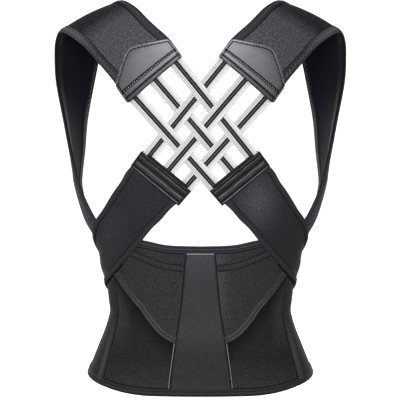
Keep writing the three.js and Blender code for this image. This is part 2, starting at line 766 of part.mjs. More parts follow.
function lowerBacking(name, side) {
  const down = onBands - (bandLevel - layerGap);
  const run = { at: crossMiddle(0), to: crossMiddle(0.04) };
  const step = Math.hypot(run.to.round - run.at.round, run.to.z - run.at.z);
  return sheet(name, hookTape, even(5), even(1), (u, v) => {
    const s = mix(-backingShow, bandTuck, v);
    const across = mix(-backingSpread, backingSpread, u);
    const half = across * crossWidth / 2;
    const round = run.at.round + (run.to.round - run.at.round) / step * s - half * (run.to.z - run.at.z) / step;
    const z = run.at.z + (run.to.z - run.at.z) / step * s + half * (run.to.round - run.at.round) / step;
    const angle = walk(0, round, z, onBands - down);
    const inner = onBands - down - backingThickness;
    return [toSide(onBody(angle, z, inner), side), toSide(onBody(angle, z, inner + backingThickness), side)];
  });
}

// Assembly
const group = new THREE.Group();
group.name = 'posture_corrector';
group.add(backPanel(), wing('wing_right', 1, true), wing('wing_left', -1, false), closureHookPatch());
group.add(hem('top_hem', true), hem('bottom_hem', false), centrePanel());
for (const [word, side] of [['left', -1], ['right', 1]]) {
  group.add(tensionPanel(`tension_panel_${word}`, side), yoke(`yoke_${word}`, side), sideStay(`side_stay_${word}`, side));
  group.add(shoulderStrap(`shoulder_strap_${word}`, side), shoulderPatch(`shoulder_patch_${word}`, side));
  group.add(shoulderBinding(`shoulder_binding_${word}_inner`, side, -1));
  group.add(shoulderBinding(`shoulder_binding_${word}_outer`, side, 1));
  group.add(crossStrap(`cross_strap_${word}`, side), crossCap(`cross_strap_cap_${word}`, side));
  group.add(crossBinding(`cross_binding_${word}_upper`, side, 1));
  group.add(crossBinding(`cross_binding_${word}_lower`, side, -1));
  group.add(hookTab(`strap_hook_tab_${word}`, side));
  group.add(upperBacking(`band_backing_top_${word}`, side), lowerBacking(`band_backing_bottom_${word}`, side));
}
for (const [word, side] of [['down', 1], ['up', -1]]) {
  [1, 0, -1].forEach((step, i) => group.add(band(`lattice_band_${word}_${i + 1}`, side, step)));
}

export default group;
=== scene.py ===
import math

import bpy
import numpy as np
from bpy.props import FloatProperty, FloatVectorProperty, PointerProperty
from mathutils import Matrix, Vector


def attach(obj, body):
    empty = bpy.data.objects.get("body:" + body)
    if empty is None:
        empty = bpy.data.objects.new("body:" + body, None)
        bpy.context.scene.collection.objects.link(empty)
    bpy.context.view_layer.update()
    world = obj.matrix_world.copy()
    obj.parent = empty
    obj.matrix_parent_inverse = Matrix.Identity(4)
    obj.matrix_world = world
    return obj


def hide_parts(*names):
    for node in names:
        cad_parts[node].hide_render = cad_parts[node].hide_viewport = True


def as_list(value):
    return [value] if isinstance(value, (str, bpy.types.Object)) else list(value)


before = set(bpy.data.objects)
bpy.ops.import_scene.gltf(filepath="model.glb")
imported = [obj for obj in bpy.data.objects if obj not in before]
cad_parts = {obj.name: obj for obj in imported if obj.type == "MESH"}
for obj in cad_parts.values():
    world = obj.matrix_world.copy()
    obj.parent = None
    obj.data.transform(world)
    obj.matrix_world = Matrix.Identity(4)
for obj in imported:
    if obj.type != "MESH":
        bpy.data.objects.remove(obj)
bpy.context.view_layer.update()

bl_info = {
    "name": "Posture Corrector",
    "version": (1, 0, 0),
    "blender": (4, 5, 0),
    "location": "3D View > Sidebar > Corrector",
    "description": "Builds a posture corrector: shaped belt, shoulder straps, cross straps, woven lattice",
    "category": "Object",
}

BODY = "root"
MM = 0.001

# Thickness of folded tape in millimetres
TAPE = 0.9

# The body form under the belt: height as a share of the drop or rise, then half width and half depths
# at the back and front, as shares of the waist's
BODY_SECTIONS = np.array([
    (-1.0, 1.341, 1.217, 1.15), (-0.79, 1.266, 1.169, 1.12), (-0.452, 1.132, 1.072, 1.07),
    (-0.226, 1.044, 1.034, 1.03), (-0.043, 0.998, 1.003, 1.0), (0.034, 1.013, 1.008, 1.01),
    (0.09, 1.028, 1.021, 1.03), (0.169, 1.036, 1.052, 1.05), (0.245, 1.06, 1.092, 1.09),
    (0.331, 1.164, 1.134, 1.15), (0.372, 1.227, 1.15, 1.19), (0.431, 1.284, 1.183, 1.24),
    (0.552, 1.367, 1.256, 1.3), (0.69, 1.406, 1.289, 1.33), (0.862, 1.41, 1.301, 1.33),
    (1.0, 1.38, 1.277, 1.3), (1.17, 1.3, 1.17, 1.2),
])

# Belt edges: degrees round from the back's centre, then the rise and the drop as shares
BELT_EDGES = np.array([
    (0, 1.0, 1.0), (24, 1.02, 0.999), (40, 1.098, 0.996), (52, 1.11, 0.971), (65.5, 1.07, 0.916),
    (80, 1.01, 0.846), (110, 0.86, 0.74), (150, 0.7, 0.64), (205, 0.66, 0.62),
])

# Belt hems: name, share of the belt's height, way inwards, looks of the tape and of the thread
HEMS = (("top", 1, -1, "edge_tape", "light_thread"), ("bottom", 0, 1, "low_tape", "thread"))

# Centre panel: share of the belt's height, then half width as a share of the panel's width
CENTRE_SECTIONS = np.array([
    (0.0, 0.95), (0.12, 0.9), (0.37, 0.745), (0.57, 0.605), (0.75, 0.52), (1.0, 0.42),
])

# Tension panel: place as a share of its reach, then its lower edge and upper edge as shares
TENSION_SECTIONS = np.array([
    (0.21, -0.39, 0.61), (0.31, -0.38, 0.62), (0.46, -0.29, 0.665), (0.6, -0.13, 0.735),
    (0.7, 0.016, 0.79), (0.83, 0.215, 0.855), (0.94, 0.41, 0.87), (1.0, 0.53, 0.84),
])

# Shoulder strap on the back: place, height, slant in degrees, width
STRAP_BACK = np.array([(0.397, 0.767, -41, 0.965), (0.512, 0.828, -38, 0.965)])

# Shoulder strap off the body: out, fore, up, direction of the line across it, width
STRAP_FREE = np.array([
    (0.674, -0.846, 0.892, 0.72, 0.42, -0.55, 1.03), (0.833, -0.563, 0.962, 0.79, 0.38, -0.48, 1.02),
    (1.006, -0.183, 1.0085, 0.885, 0.2, -0.41, 1.03), (1.096, 0.274, 0.978, 0.83, -0.38, -0.41, 1.0),
    (1.174, 0.548, 0.887, 0.65, -0.74, -0.16, 0.97), (1.205, 0.673, 0.803, 0.545, -0.81, -0.07, 0.94),
    (1.195, 0.495, 0.656, 0.30, -0.94, -0.05, 0.91), (1.168, 0.288, 0.546, 0.155, -0.98, -0.03, 0.89),
])

# Shoulder strap on the side: share of the way down, angle, height, slant in degrees, width
STRAP_SIDE = np.array([
    (0.0, 89, 0.44, 172, 0.88), (0.27, 87, 0.377, 166, 0.87), (0.52, 84, 0.318, 157, 0.86),
    (0.78, 80, 0.256, 150, 0.84), (1.0, 75, 0.207, 147, 0.82),
])

# Shoulder strap edges: name, which edge, width of the tape, its looks outside and inside, look of the
# thread outside, look and radius of the thread inside, width of the seam beside the tape
STRAP_EDGES = (
    ("inner", -1, 10.0, "strap_tape", "lining_tape", "thread", "light_thread", 0.6, 1.5),
    ("outer", 1, 12.0, "arm_tape", "dark_lining_tape", "light_thread", "dim_thread", 0.3, 0.8),
)

# Cross strap: place round the body, height, width, as shares
CROSS_SECTIONS = np.array([
    (0.15, 1.0, 1.0), (0.222, 0.857, 0.975), (0.299, 0.725, 0.914), (0.372, 0.597, 0.896),
    (0.431, 0.514, 0.903), (0.508, 0.411, 0.875), (0.583, 0.343, 0.825), (0.674, 0.275, 0.76),
    (0.78, 0.2, 0.74), (0.895, 0.13, 0.73), (1.0, 0.088, 0.72),
])

# Cross strap off its middle line below the cap: place round the body, share of half its width
CROSS_LEAN = np.array([
    (0.15, 0.0), (0.222, 0.113), (0.26, 0.067), (0.299, 0.06), (0.372, 0.015), (0.431, 0.0), (0.508, 0.0),
    (0.583, 0.02), (0.64, 0.06), (0.72, 0.07), (0.85, 0.04), (1.0, 0.0),
])

# Ribs of a cap: place along it in mm for a 20 mm cap, width and height
CAP_RIBS = (
    (1.2, 0.8, 0.75), (4.1, 0.7, 1.1), (6.1, 0.7, 0.55),
    (10.6, 1.1, 1.1), (12.9, 0.9, 0.65), (16.3, 0.7, 1.25),
)

# Studio lights: name, property of its power, share of it, place
LIGHTS = (
    ("key", "key", 1.0, (-0.1, -1.95, 0.38)), ("side_left", "side", 1.0, (-1.6, -0.9, 0.36)),
    ("side_right", "side", 0.45, (1.6, -0.9, 0.36)), ("front_left", "front", 1.0, (-0.9, 1.8, 0.45)),
    ("front_right", "front", 1.0, (0.9, 1.8, 0.45)),
)


def read(table, column, x):
    """Value of a table's column at x in its first column, along a smooth curve through its rows."""
    keys, values = table[:, 0], table[:, column]
    last = len(keys) - 1
    x = np.asarray(x, float)
    i = np.clip(np.searchsorted(keys[1:last], x, side="left"), 0, last - 1)
    span = keys[i + 1] - keys[i]
    t = np.clip((x - keys[i]) / span, 0, 1)
    before, after = np.maximum(i - 1, 0), np.minimum(i + 2, last)
    slope_low = (values[i + 1] - values[before]) / (keys[i + 1] - keys[before])
    slope_high = (values[after] - values[i]) / (keys[after] - keys[i])
    h = t * t * (3 - 2 * t)
    pull = t * (1 - t) ** 2 * slope_low * span - t * t * (1 - t) * slope_high * span
    return values[i] * (1 - h) + values[i + 1] * h + pull


def mix(a, b, t):
    """Value between a and b."""
    return a + (b - a) * t


def ramp(x, low, high):
    """Smooth step from 0 at low to 1 at high."""
    t = np.clip((x - low) / (high - low), 0, 1)
    return t * t * (3 - 2 * t)


def bump(x, middle, width):
    """Soft round bump of height 1."""
    return np.exp(-((x - middle) / width) ** 2)


def rounded(x, radius):
    """Height of a round edge, 0 at the edge and 1 a radius in from it."""
    return np.sqrt(np.clip(1 - (1 - np.clip(x / radius, 0, 1)) ** 2, 0, 1))


def unit(v):
    """Vectors of length 1."""
    return v / np.maximum(np.linalg.norm(v, axis=-1, keepdims=True), 1e-12)


def stops_of(points):
    """Length along a line of points, at each of them."""
    return np.concatenate([[0], np.cumsum(np.linalg.norm(np.diff(points, axis=0), axis=-1))])


def measure(name, default, text, unit="LENGTH"):
    """A number property."""
    return FloatProperty(name=name, description=text, default=default, unit=unit)


def tint(name, default, text):
    """A colour property."""
    return FloatVectorProperty(
        name=name, description=text, default=default, size=3, min=0, max=1, subtype="COLOR"
    )


class Sizes(bpy.types.PropertyGroup):
    """Sizes of the corrector."""

    waist_width: measure("Waist width", 0.229, "Inside width of the belt at its narrowest")
    waist_depth: measure("Waist depth", 0.166, "Inside depth of the belt at its narrowest")
    chest_rise: measure("Chest rise", 0.29, "From the waist to the shoulder patches")
    hip_drop: measure("Hip drop", 0.115, "From the waist to just under the belt")
    belt_rise: measure("Belt rise", 0.079, "From the waist to the belt's top edge at the back")
    belt_drop: measure("Belt drop", 0.105, "From the waist to the belt's lower edge")
    belt_thickness: measure("Belt thickness", 0.003, "Thickness of the laminated belt cloth")
    hem_width: measure("Hem width", 0.009, "Width of the bound edges of the belt")
    centre_width: measure("Centre panel width", 0.04, "Width of the centre panel near its foot")
    tension_reach: measure("Tension panel reach", 0.107, "Half width of the two tension panels")
    shoulder_height: measure("Shoulder height", 0.371, "From the waist to the strap on the shoulder")
    shoulder_reach: measure("Shoulder reach", 0.141, "From the body's centre to the strap")
    shoulder_depth: measure("Shoulder depth", 0.104, "Reach of the strap before the body's centre")
    strap_width: measure("Shoulder strap width", 0.086, "Width of a shoulder strap")
    strap_thickness: measure("Shoulder strap thickness", 0.003, "Thickness of a shoulder strap")
    patch_length: measure("Patch length", 0.048, "Length of the shoulder patch to its point")
    patch_side: measure("Patch side", 0.024, "Straight side of the shoulder patch")
    cross_height: measure("Cross strap height", 0.17, "From the waist to the upper end")
    cross_reach: measure("Cross strap reach", 0.276, "Round the body to the front end")
    cross_width: measure("Cross strap width", 0.073, "Width of a cross strap")
    cap_length: measure("Cap length", 0.02, "Length of the ribbed cap")
    band_width: measure("Band width", 0.0176, "Width of a lattice band")
    band_pitch_top: measure("Upper band pitch", 0.033, "From band to band at the patch")
    band_pitch_bottom: measure("Lower band pitch", 0.0293, "From band to band at the cap")


class Colours(bpy.types.PropertyGroup):
    """Colours of the cloths, leathers and threads."""

    belt: tint("Belt", (0.0192, 0.0191, 0.022), "Belt cloth")
    panel: tint("Centre panel", (0.0415, 0.0411, 0.046), "Centre panel cloth")
    tension: tint("Tension panels", (0.031, 0.031, 0.0345), "Cloth of the tension panels and yokes")
    strap: tint("Shoulder straps", (0.072, 0.0735, 0.085), "Brushed cloth of the shoulder straps")
    lining: tint("Strap lining", (0.0118, 0.0104, 0.0172), "Inner face of the shoulder straps")
    elastic: tint("Cross straps", (0.0237, 0.0232, 0.0272), "Elastic cloth of the cross straps")
    binding: tint("Bindings", (0.0302, 0.0294, 0.0358), "Edge tapes and hems")
    thread: tint("Thread", (0.07, 0.07, 0.075), "Sewing thread")
    leather: tint("Patches", (0.19, 0.194, 0.214), "Leather of the shoulder patches")
    cap: tint("Caps", (0.04, 0.0395, 0.0435), "Leather of the ribbed caps")
    band: tint("Bands", (0.77, 0.77, 0.785), "Ground of the lattice bands")
    stripe: tint("Stripe", (0.026, 0.026, 0.0275), "Stripe of the lattice bands")
    hook: tint("Hook tape", (0.012, 0.012, 0.014), "Hook tape and backing strips")


class Studio(bpy.types.PropertyGroup):
    """Camera and light of the studio."""

    distance: measure("Camera distance", 1.8, "From the camera to the origin")
    height: measure("Camera height", 0.1365, "Height of the camera")
    lens: measure("Lens", 124.6, "Focal length", "CAMERA")
    key: measure("Key light", 32, "Power of the soft light before the back", "POWER")
    side: measure("Side lights", 6, "Power of each side light", "POWER")
    front: measure("Front lights", 22, "Power of each light before the front", "POWER")
    backdrop: measure("Backdrop light", 1.0, "Strength of the pale surround", "NONE")


class Cloth:
    """A smooth surface read by length and by place across, with heights over it, in millimetres."""

    def __init__(self, base, lengths, places, outward, soften=0):
        self.lengths, self.places = lengths, places
        self.p = base(lengths[:, None], places[None, :])
        for _ in range(soften):
            self.p[1:-1] = (self.p[:-2] + 2 * self.p[1:-1] + self.p[2:]) / 4
        self.n = unit(np.cross(np.gradient(self.p, axis=0), np.gradient(self.p, axis=1))) * outward
        run = np.linalg.norm(np.diff(self.p, axis=1), axis=-1).sum(1)
        self.half = run / (places[-1] - places[0])

    def at(self, s, v, h=0.0):
        """Points at lengths s, places v and heights h."""
        s, v, h = np.broadcast_arrays(*(np.asarray(x, float) for x in (s, v, h)))
        x = (s - self.lengths[0]) / (self.lengths[1] - self.lengths[0])
        y = (v - self.places[0]) / (self.places[1] - self.places[0])
        i = np.clip(np.floor(x).astype(int), 0, len(self.lengths) - 2)
        j = np.clip(np.floor(y).astype(int), 0, len(self.places) - 2)
        a, b = (x - i)[..., None], (y - j)[..., None]

        def blend(grid):
            low = mix(grid[i, j], grid[i + 1, j], a)
            return mix(low, mix(grid[i, j + 1], grid[i + 1, j + 1], a), b)

        return blend(self.p) + unit(blend(self.n)) * h[..., None]

    def half_at(self, s):
        """Half width at lengths s."""
        return np.interp(s, self.lengths, self.half)

    def by_edge(self, edge):
        """Points by length, distance in from one of the edges and height."""
        return lambda s, d, h: self.at(s, edge * (1 - d / self.half_at(s)), h)

    def inset(self, amount, v, h):
        """An outline with its edges an amount inside the cloth's."""
        return lambda s: (v * (1 - amount / self.half_at(s)), h)


class Form:
    """The corrector's surfaces, worked out from its sizes, in millimetres."""

    roundness = 2.3
    layer_gap = 0.4
    seam_angle = 65.5
    seam_lean = 3.5
    lap_angle = 40.0
    yoke_reach = 90
    band_thickness = 1.2
    cross_thickness = 2.2
    crown = 3.9

    def __init__(self, sizes):
        for name in sizes.__annotations__:
            setattr(self, name, getattr(sizes, name) / MM)
        self.on_belt = self.belt_thickness + self.layer_gap
        self.on_hem = self.on_belt + 1.6
        self.on_panels = self.on_belt + 2.0
        self.on_tab = self.on_belt + 2.4
        self.on_bands = self.on_belt + self.band_thickness + 0.8
        self.on_shoulder_strap = self.on_hem + self.strap_thickness + 0.8
        self.wing_lift = self.belt_thickness + 2.4
        self.degree = self.waist_width / 2 * math.radians(1)
        self.belt_tall = self.belt_rise + self.belt_drop
        self.panel_low = self.belt_height(0, 0) + self.hem_width + 0.4
        self.panel_high = self.belt_height(0, 1) - self.hem_width - 0.4

    def section(self, z, front):
        """Half width and half depth of the body form at height z."""
        up = np.where(z < 0, z / self.hip_drop, z / self.chest_rise)
        depth = np.where(front, read(BODY_SECTIONS, 3, up), read(BODY_SECTIONS, 2, up))
        return read(BODY_SECTIONS, 1, up) * self.waist_width / 2, depth * self.waist_depth / 2

    def on_body(self, angle, z, out):
        """Points of the body form at an angle from the back's centre, a height and a distance outwards."""
        angle, z, out = np.broadcast_arrays(*(np.asarray(x, float) for x in (angle, z, out)))
        s, c = np.sin(np.radians(angle)), np.cos(np.radians(angle))
        a, b = self.section(z, c < 0)
        reach = (np.abs(s) / (a + out)) ** self.roundness + (np.abs(c) / (b + out)) ** self.roundness
        r = reach ** (-1 / self.roundness)
        return np.stack([r * s, -r * c, z], -1)

    def angle_at_x(self, x, z, out):
        """Angle on the back where x has the given value."""
        a, b = self.section(z, False)
        share = np.clip(np.abs(x) / (a + out), 0, 0.999)
        y = (b + out) * (1 - share ** self.roundness) ** (1 / self.roundness)
        return np.degrees(np.arctan2(x, y))

    def back_at(self, x, z, out):
        """Points on the back at x and z, a distance out from the body form."""
        x, z, out = np.broadcast_arrays(*(np.asarray(k, float) for k in (x, z, out)))
        return self.on_body(self.angle_at_x(x, z, self.on_belt), z, out)

    def walk(self, angle, length, z, out, steps=12):
        """Angle reached by walking a length round the body at height z."""
        for _ in range(steps):
            ahead, behind = self.on_body(angle + 0.5, z, out), self.on_body(angle - 0.5, z, out)
            angle = angle + length / steps / np.linalg.norm(ahead - behind, axis=-1)
        return angle

    def belt_height(self, angle, share):
        """Height of the belt at an angle, at a share of the way up from its lower edge."""
        turn = np.abs(angle)
        top = read(BELT_EDGES, 1, turn) * self.belt_rise
        return mix(-read(BELT_EDGES, 2, turn) * self.belt_drop, top, share)

    def seam_at(self, z):
        """Angle of the side seam at height z."""
        return self.seam_angle + self.seam_lean * np.clip(z / self.belt_drop, -1.2, 1)

    def centre_half(self, z):
        """Half width of the centre panel at height z."""
        return read(CENTRE_SECTIONS, 1, (z + self.belt_drop) / self.belt_tall) * self.centre_width

    def tension_top(self, x):
        """Upper edge of the tension panel."""
        return read(TENSION_SECTIONS, 2, x / self.tension_reach) * self.belt_rise

    def tension_foot(self, x):
        """Lower edge of the tension panel."""
        low = read(TENSION_SECTIONS, 1, x / self.tension_reach)
        return np.where(low < 0, low * self.belt_drop, low * self.belt_rise)

    def hem_foot(self, x):
        """Height of the top hem's lower line at a place across the back."""
        z = self.belt_rise - self.hem_width + 0 * x
        for _ in range(5):
            flat = self.angle_at_x(x, z, self.on_belt) * self.seam_angle / self.seam_at(z)
            z = self.belt_height(flat, 1) - self.hem_width
        return z

    def beside_centre(self, reach, below, above):
        """Points by share of the way from the centre panel to a reach, and of that between two edges."""
        def place(s, v, h):
            x = mix(self.centre_half(0), reach, s)
            for _ in range(6):
                z = mix(below(x), above(x), v)
                x = mix(self.centre_half(z) + 0.4, reach, s)
            return self.back_at(x, z, h)

        return place

    def body_row(self, angle, z, slant, half, out):
        """Points of a strap's row that lies on the body."""
        rise = half * math.sin(math.radians(slant))
        turned = self.walk(angle, half * math.cos(math.radians(slant)), z + rise, out)
        return self.on_body(turned, z + rise, out)

    def shoulder_rows(self, v):
        """Rows of the shoulder strap from its patch to its end on the belt."""
        def half(wide):
            return v * wide * self.strap_width / 2

        rows, ends = [], []
        for out, up, slant, wide in STRAP_BACK:
            z = up * self.shoulder_height
            angle = self.angle_at_x(out * self.shoulder_reach, z, self.on_bands)
            rows.append(self.body_row(angle, z, slant, half(wide), self.on_bands))
        side = [read(STRAP_SIDE, c, np.linspace(0, 1, 11)) for c in (1, 2, 3, 4)]
        for angle, up, slant, wide in zip(*side):
            ends.append(self.body_row(angle, up * self.shoulder_height, slant, half(wide), self.on_hem))
        reach = np.array([self.shoulder_reach, self.shoulder_depth, self.shoulder_height])
        middle = len(v) // 2
        middles = [rows[-1][middle], *(STRAP_FREE[:, :3] * reach), ends[0][middle]]
        for i, row in enumerate(STRAP_FREE):
            edge = unit(row[3:6])
            up = unit(np.cross(edge, unit(middles[i + 2] - middles[i])))
            rows.append(middles[i + 1] + edge * half(row[6])[:, None] - up * (self.crown * v * v)[:, None])
        return np.array([*rows, *ends])

    def shoulder_strap(self):
        """The shoulder strap's inner face, by length from its patch."""
        places = np.linspace(-1, 1, 41)
        rows = self.shoulder_rows(places)
        stops = stops_of(rows[:, 20])
        self.strap_length = float(stops[-1])
        last = len(rows) - 1
        padded = np.concatenate([[2 * rows[0] - rows[1]], rows, [2 * rows[last] - rows[last - 1]]])

        def base(s, _):
            s = s[:, 0]
            i = np.clip(np.searchsorted(stops, s, side="left") - 1, 0, last - 1)
            t = (s - stops[i]) / (stops[i + 1] - stops[i])
            return centripetal(*(padded[i + k] for k in range(4)), t[:, None, None])

        return Cloth(base, np.linspace(0, self.strap_length, 341), places, -1, soften=14)

    def cross_middle(self, share):
        """Length round the body, height, and place in its table, of the cross strap's middle."""
        key = mix(CROSS_SECTIONS[0, 0], 1, share)
        return key * self.cross_reach, read(CROSS_SECTIONS, 1, key) * self.cross_height, key

    def cross_start(self):
        """Upper end of the cross strap's middle, and its direction there."""
        start, ahead = self.cross_middle(0.0), self.cross_middle(0.04)
        return start, unit(np.array([ahead[0] - start[0], ahead[1] - start[1]]))

    def cross_strap(self, leaning=1.0):
        """The cross strap's inner face, by length from its upper end; its cap is made without the lean."""
        reach, height, _ = self.cross_middle(np.linspace(0, 1, 400))
        self.cross_length = float(np.hypot(np.diff(reach), np.diff(height)).sum())

        def base(s, v):
            share = s / self.cross_length
            reach, height, key = self.cross_middle(share)
            ahead, behind = (self.cross_middle(np.clip(share + step, 0, 1)) for step in (0.02, -0.02))
            run = unit(np.stack([ahead[0] - behind[0], ahead[1] - behind[1]], -1))
            lean = read(CROSS_LEAN, 1, key) * ramp(share, 0.035, 0.06) * leaning
            half = (v * read(CROSS_SECTIONS, 2, key) + lean) * self.cross_width / 2
            z = height + half * run[..., 0]
            over_belt = mix(self.on_panels, self.on_belt + 0.4, ramp(share, 0.38, 0.5))
            over_strap = mix(over_belt, self.on_shoulder_strap, ramp(v, -0.85, 0.1))
            out = mix(self.on_bands, over_strap, ramp(share, 0.06, 0.24))
            out = mix(out, self.on_tab, ramp(share, 0.66, 0.82))
            angle = self.walk(0 * z, reach - half * run[..., 1], z, out, steps=36)
            return self.on_body(angle, z, out)

        return Cloth(base, np.linspace(0, 1, 241) * self.cross_length, np.linspace(-1, 1, 33), 1, soften=4)


def centripetal(a, b, c, d, t):
    """Point of a centripetal curve through four rows of points, between the second and third."""
    first, second, third = (
        np.maximum(((q - p) ** 2).sum(-1, keepdims=True) ** 0.25, 1e-6) for p, q in ((a, b), (b, c), (c, d))
    )
    t1 = ((b - a) / first - (c - a) / (first + second) + (c - b) / second) * second
    t2 = ((c - b) / second - (d - b) / (second + third) + (d - c) / third) * second
    return b + t1 * t + (-3 * b + 3 * c - 2 * t1 - t2) * t ** 2 + (2 * b - 2 * c + t1 + t2) * t ** 3


def strip(v0, v1, low, high, half=1.0, across=12):
    """Closed outline of a strip across a cloth: places and heights, with both edges round."""
    r = (high - low) / 2
    rv = r / half
    flat = np.linspace(v0 + rv, v1 - rv, across + 1)
    turn = np.radians([60, 30, 0, -30, -60])
    v = [flat, v1 - rv + rv * np.cos(turn), flat[::-1], v0 + rv - rv * np.cos(turn)]
    h = [flat * 0 + high, low + r + r * np.sin(turn), flat * 0 + low, low + r - r * np.sin(turn)]
    return np.concatenate(v), np.concatenate(h)


def fold(width, thick, tape=TAPE):
    """Closed outline of a tape folded over a cloth's edge: distance in from the edge and height."""
    inner, outer, half, overhang = thick / 2, thick / 2 + tape, tape / 2, 0.3
    turn, ends = (np.radians(np.linspace(90, -90, count))[1:-1] for count in (9, 5))
    far = np.linspace(width - half, 0, 7)
    near, level, tip = far[::-1], far * 0, width - half + half * np.cos(ends)
    d = np.concatenate([far, -outer * np.cos(turn), near, tip, far, -inner * np.cos(turn), near, tip])
    h = np.concatenate([
        level + thick + tape, inner + outer * np.sin(turn), level - tape, -half - half * np.sin(ends),
        level, inner - inner * np.sin(turn), level + thick, thick + half - half * np.sin(ends),
    ])
    return np.where(d < width * 0.9, d + (outer - overhang) * (1 - np.clip(d, 0, None) / width), d), h


def faces_of(rings, around):
    """Quads of a closed loft of rings, with both ends closed."""
    i, j = np.meshgrid(np.arange(rings - 1), np.arange(around), indexing="ij")
    k = (j + 1) % around
    quads = np.stack([i * around + j, (i + 1) * around + j, (i + 1) * around + k, i * around + k], -1)
    caps = [list(range(around))[::-1], [(rings - 1) * around + n for n in range(around)]]
    return quads.reshape(-1, 4).tolist() + caps


def volume(points, faces):
    """Signed volume of a closed mesh."""
    total = 0.0
    for size in {len(f) for f in faces}:
        same = np.array([f for f in faces if len(f) == size])
        first = points[same[:, 0]]
        for k in range(1, size - 1):
            total += np.einsum("ij,ij->i", first, np.cross(points[same[:, k]], points[same[:, k + 1]])).sum()
    return total / 6


class Maker:
    """Turns rings of points into pieces that ride on the frame."""

    def __init__(self, context):
        self.context = context
        self.form = Form(context.scene.corrector_sizes)
        self.looks = Looks(context.scene.corrector_colours)
        self.side = 1

    def sides(self):
        """Words for the two sides in turn; pieces are made on that side, 1 for +X and -1 for -X."""
        for word, self.side in (("left", -1), ("right", 1)):
            yield word

    def piece(self, name, points, faces, look, slot, stands_for=(), uv=None, smooth=50, values=None,
              lining=None):
        """A finished piece: mesh, smooth shading, material and ride; the slot is not used."""
        points = points.reshape(-1, 3) * np.array([self.side, 1.0, 1.0])
        if volume(points, faces) < 0:
            faces = [f[::-1] for f in faces]
        mesh = bpy.data.meshes.new(name)
        mesh.from_pydata((points * MM).tolist(), [], faces)
        if uv is not None:
            layer = mesh.uv_layers.new(name="cloth")
            corners = np.empty(len(mesh.loops), np.int32)
            mesh.loops.foreach_get("vertex_index", corners)
            layer.uv.foreach_set("vector", (uv[corners] * MM).ravel().astype(np.float32))
        mesh.polygons.foreach_set("use_smooth", np.ones(len(mesh.polygons), bool))
        mesh.set_sharp_from_angle(angle=math.radians(smooth))
        mesh.materials.append(self.looks.get(look))
        if lining:
            mesh.materials.append(self.looks.get(lining[0]))
            mesh.polygons.foreach_set("material_index", lining[1])
        for key, numbers in (values or {}).items():
            mesh.attributes.new(key, "FLOAT", "POINT").data.foreach_set("value", numbers.ravel() * MM)
        mesh.update()
        obj = bpy.data.objects.new(name, mesh)
        self.context.scene.collection.objects.link(obj)
        if stands_for:
            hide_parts(*stands_for)
        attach(obj, BODY)
        return obj

    def sweep(self, name, place, stations, outline, look, slot, stands_for=(), round_ends=1.5, run=1.0,
              half=1.0, lining=None, values=None):
        """A piece swept along stations, or first, last and count of them. outline gives places and heights,
        or takes the stations and gives them. lining is the look of the faces below a height."""
        stations = np.linspace(*stations) if isinstance(stations, tuple) else stations
        v, h = outline(stations[:, None]) if callable(outline) else outline
        v, h = (np.broadcast_to(x, (len(stations), np.shape(x)[-1])) for x in (v, h))
        s = np.repeat(stations[:, None], v.shape[1], 1)
        if round_ends:
            turns = np.radians([78, 55, 28])
            first = [self.end_ring(s, v, h, 0, -1, a, round_ends, run) for a in turns]
            last = [self.end_ring(s, v, h, -1, 1, a, round_ends, run) for a in turns[::-1]]
            s, v, h = (
                np.concatenate([[f[k] for f in first], x, [e[k] for e in last]])
                for k, x in enumerate((s, v, h))
            )
        uv = np.stack([s * run, v * half], -1).reshape(-1, 2)
        faces = faces_of(*s.shape)
        if lining:
            flat = h.reshape(-1)
            lining = (lining[0], np.array([int(flat[list(f)].mean() < lining[1]) for f in faces], np.int32))
        points = place(s, v, h)
        return self.piece(name, points, faces, look, slot, stands_for, uv, values=values, lining=lining)

    @staticmethod
    def end_ring(s, v, h, index, sign, turn, r, run):
        """One ring of a rounded end."""
        middle = (h[index].min() + h[index].max()) / 2
        level = middle + (h[index] - middle) * math.cos(turn)
        return s[index] + sign * r * math.sin(turn) / run, v[index], level

    def seam(self, name, place, stations, d, width, h, look="dark_thread"):
        """A thin sunk line of thread or piping along a seam; also a dark strip of painted shadow."""
        r = 0.3
        outline = strip(d - width / 2, d + width / 2, h - r, h + r, across=2)
        return self.sweep(name, place, stations, outline, look, "binding_tape", round_ends=r)

    def stitches(self, name, threads, radius=0.45, rise=0.35, look="thread", slot="binding_tape"):
        """Small arched threads from start points to end points, as one piece."""
        starts, ends, up = threads
        axis = unit(ends - starts)
        across = unit(np.cross(up, axis))
        up = unit(np.cross(axis, across))
        rings = [starts[:, None]]
        for t, fat in ((0.14, 0.75), (0.5, 1.0), (0.86, 0.75)):
            centre = mix(starts, ends, t) + up * rise * math.sin(math.pi * t)
            for a in np.radians([0, 90, 180, 270]):
                rings.append((centre + radius * fat * (math.cos(a) * across + math.sin(a) * up))[:, None])
        rings.append(ends[:, None])
        points = np.concatenate(rings, 1)
        one = [(0, 1 + (k + 1) % 4, 1 + k) for k in range(4)]
        for ring in (1, 5):
            one += [(ring + k, ring + (k + 1) % 4, ring + 4 + (k + 1) % 4, ring + 4 + k) for k in range(4)]
        one += [(13, 9 + k, 9 + (k + 1) % 4) for k in range(4)]
        faces = [tuple(14 * m + k for k in face) for m in range(len(points)) for face in one]
        return self.piece(name, points, faces, look, slot, smooth=80)


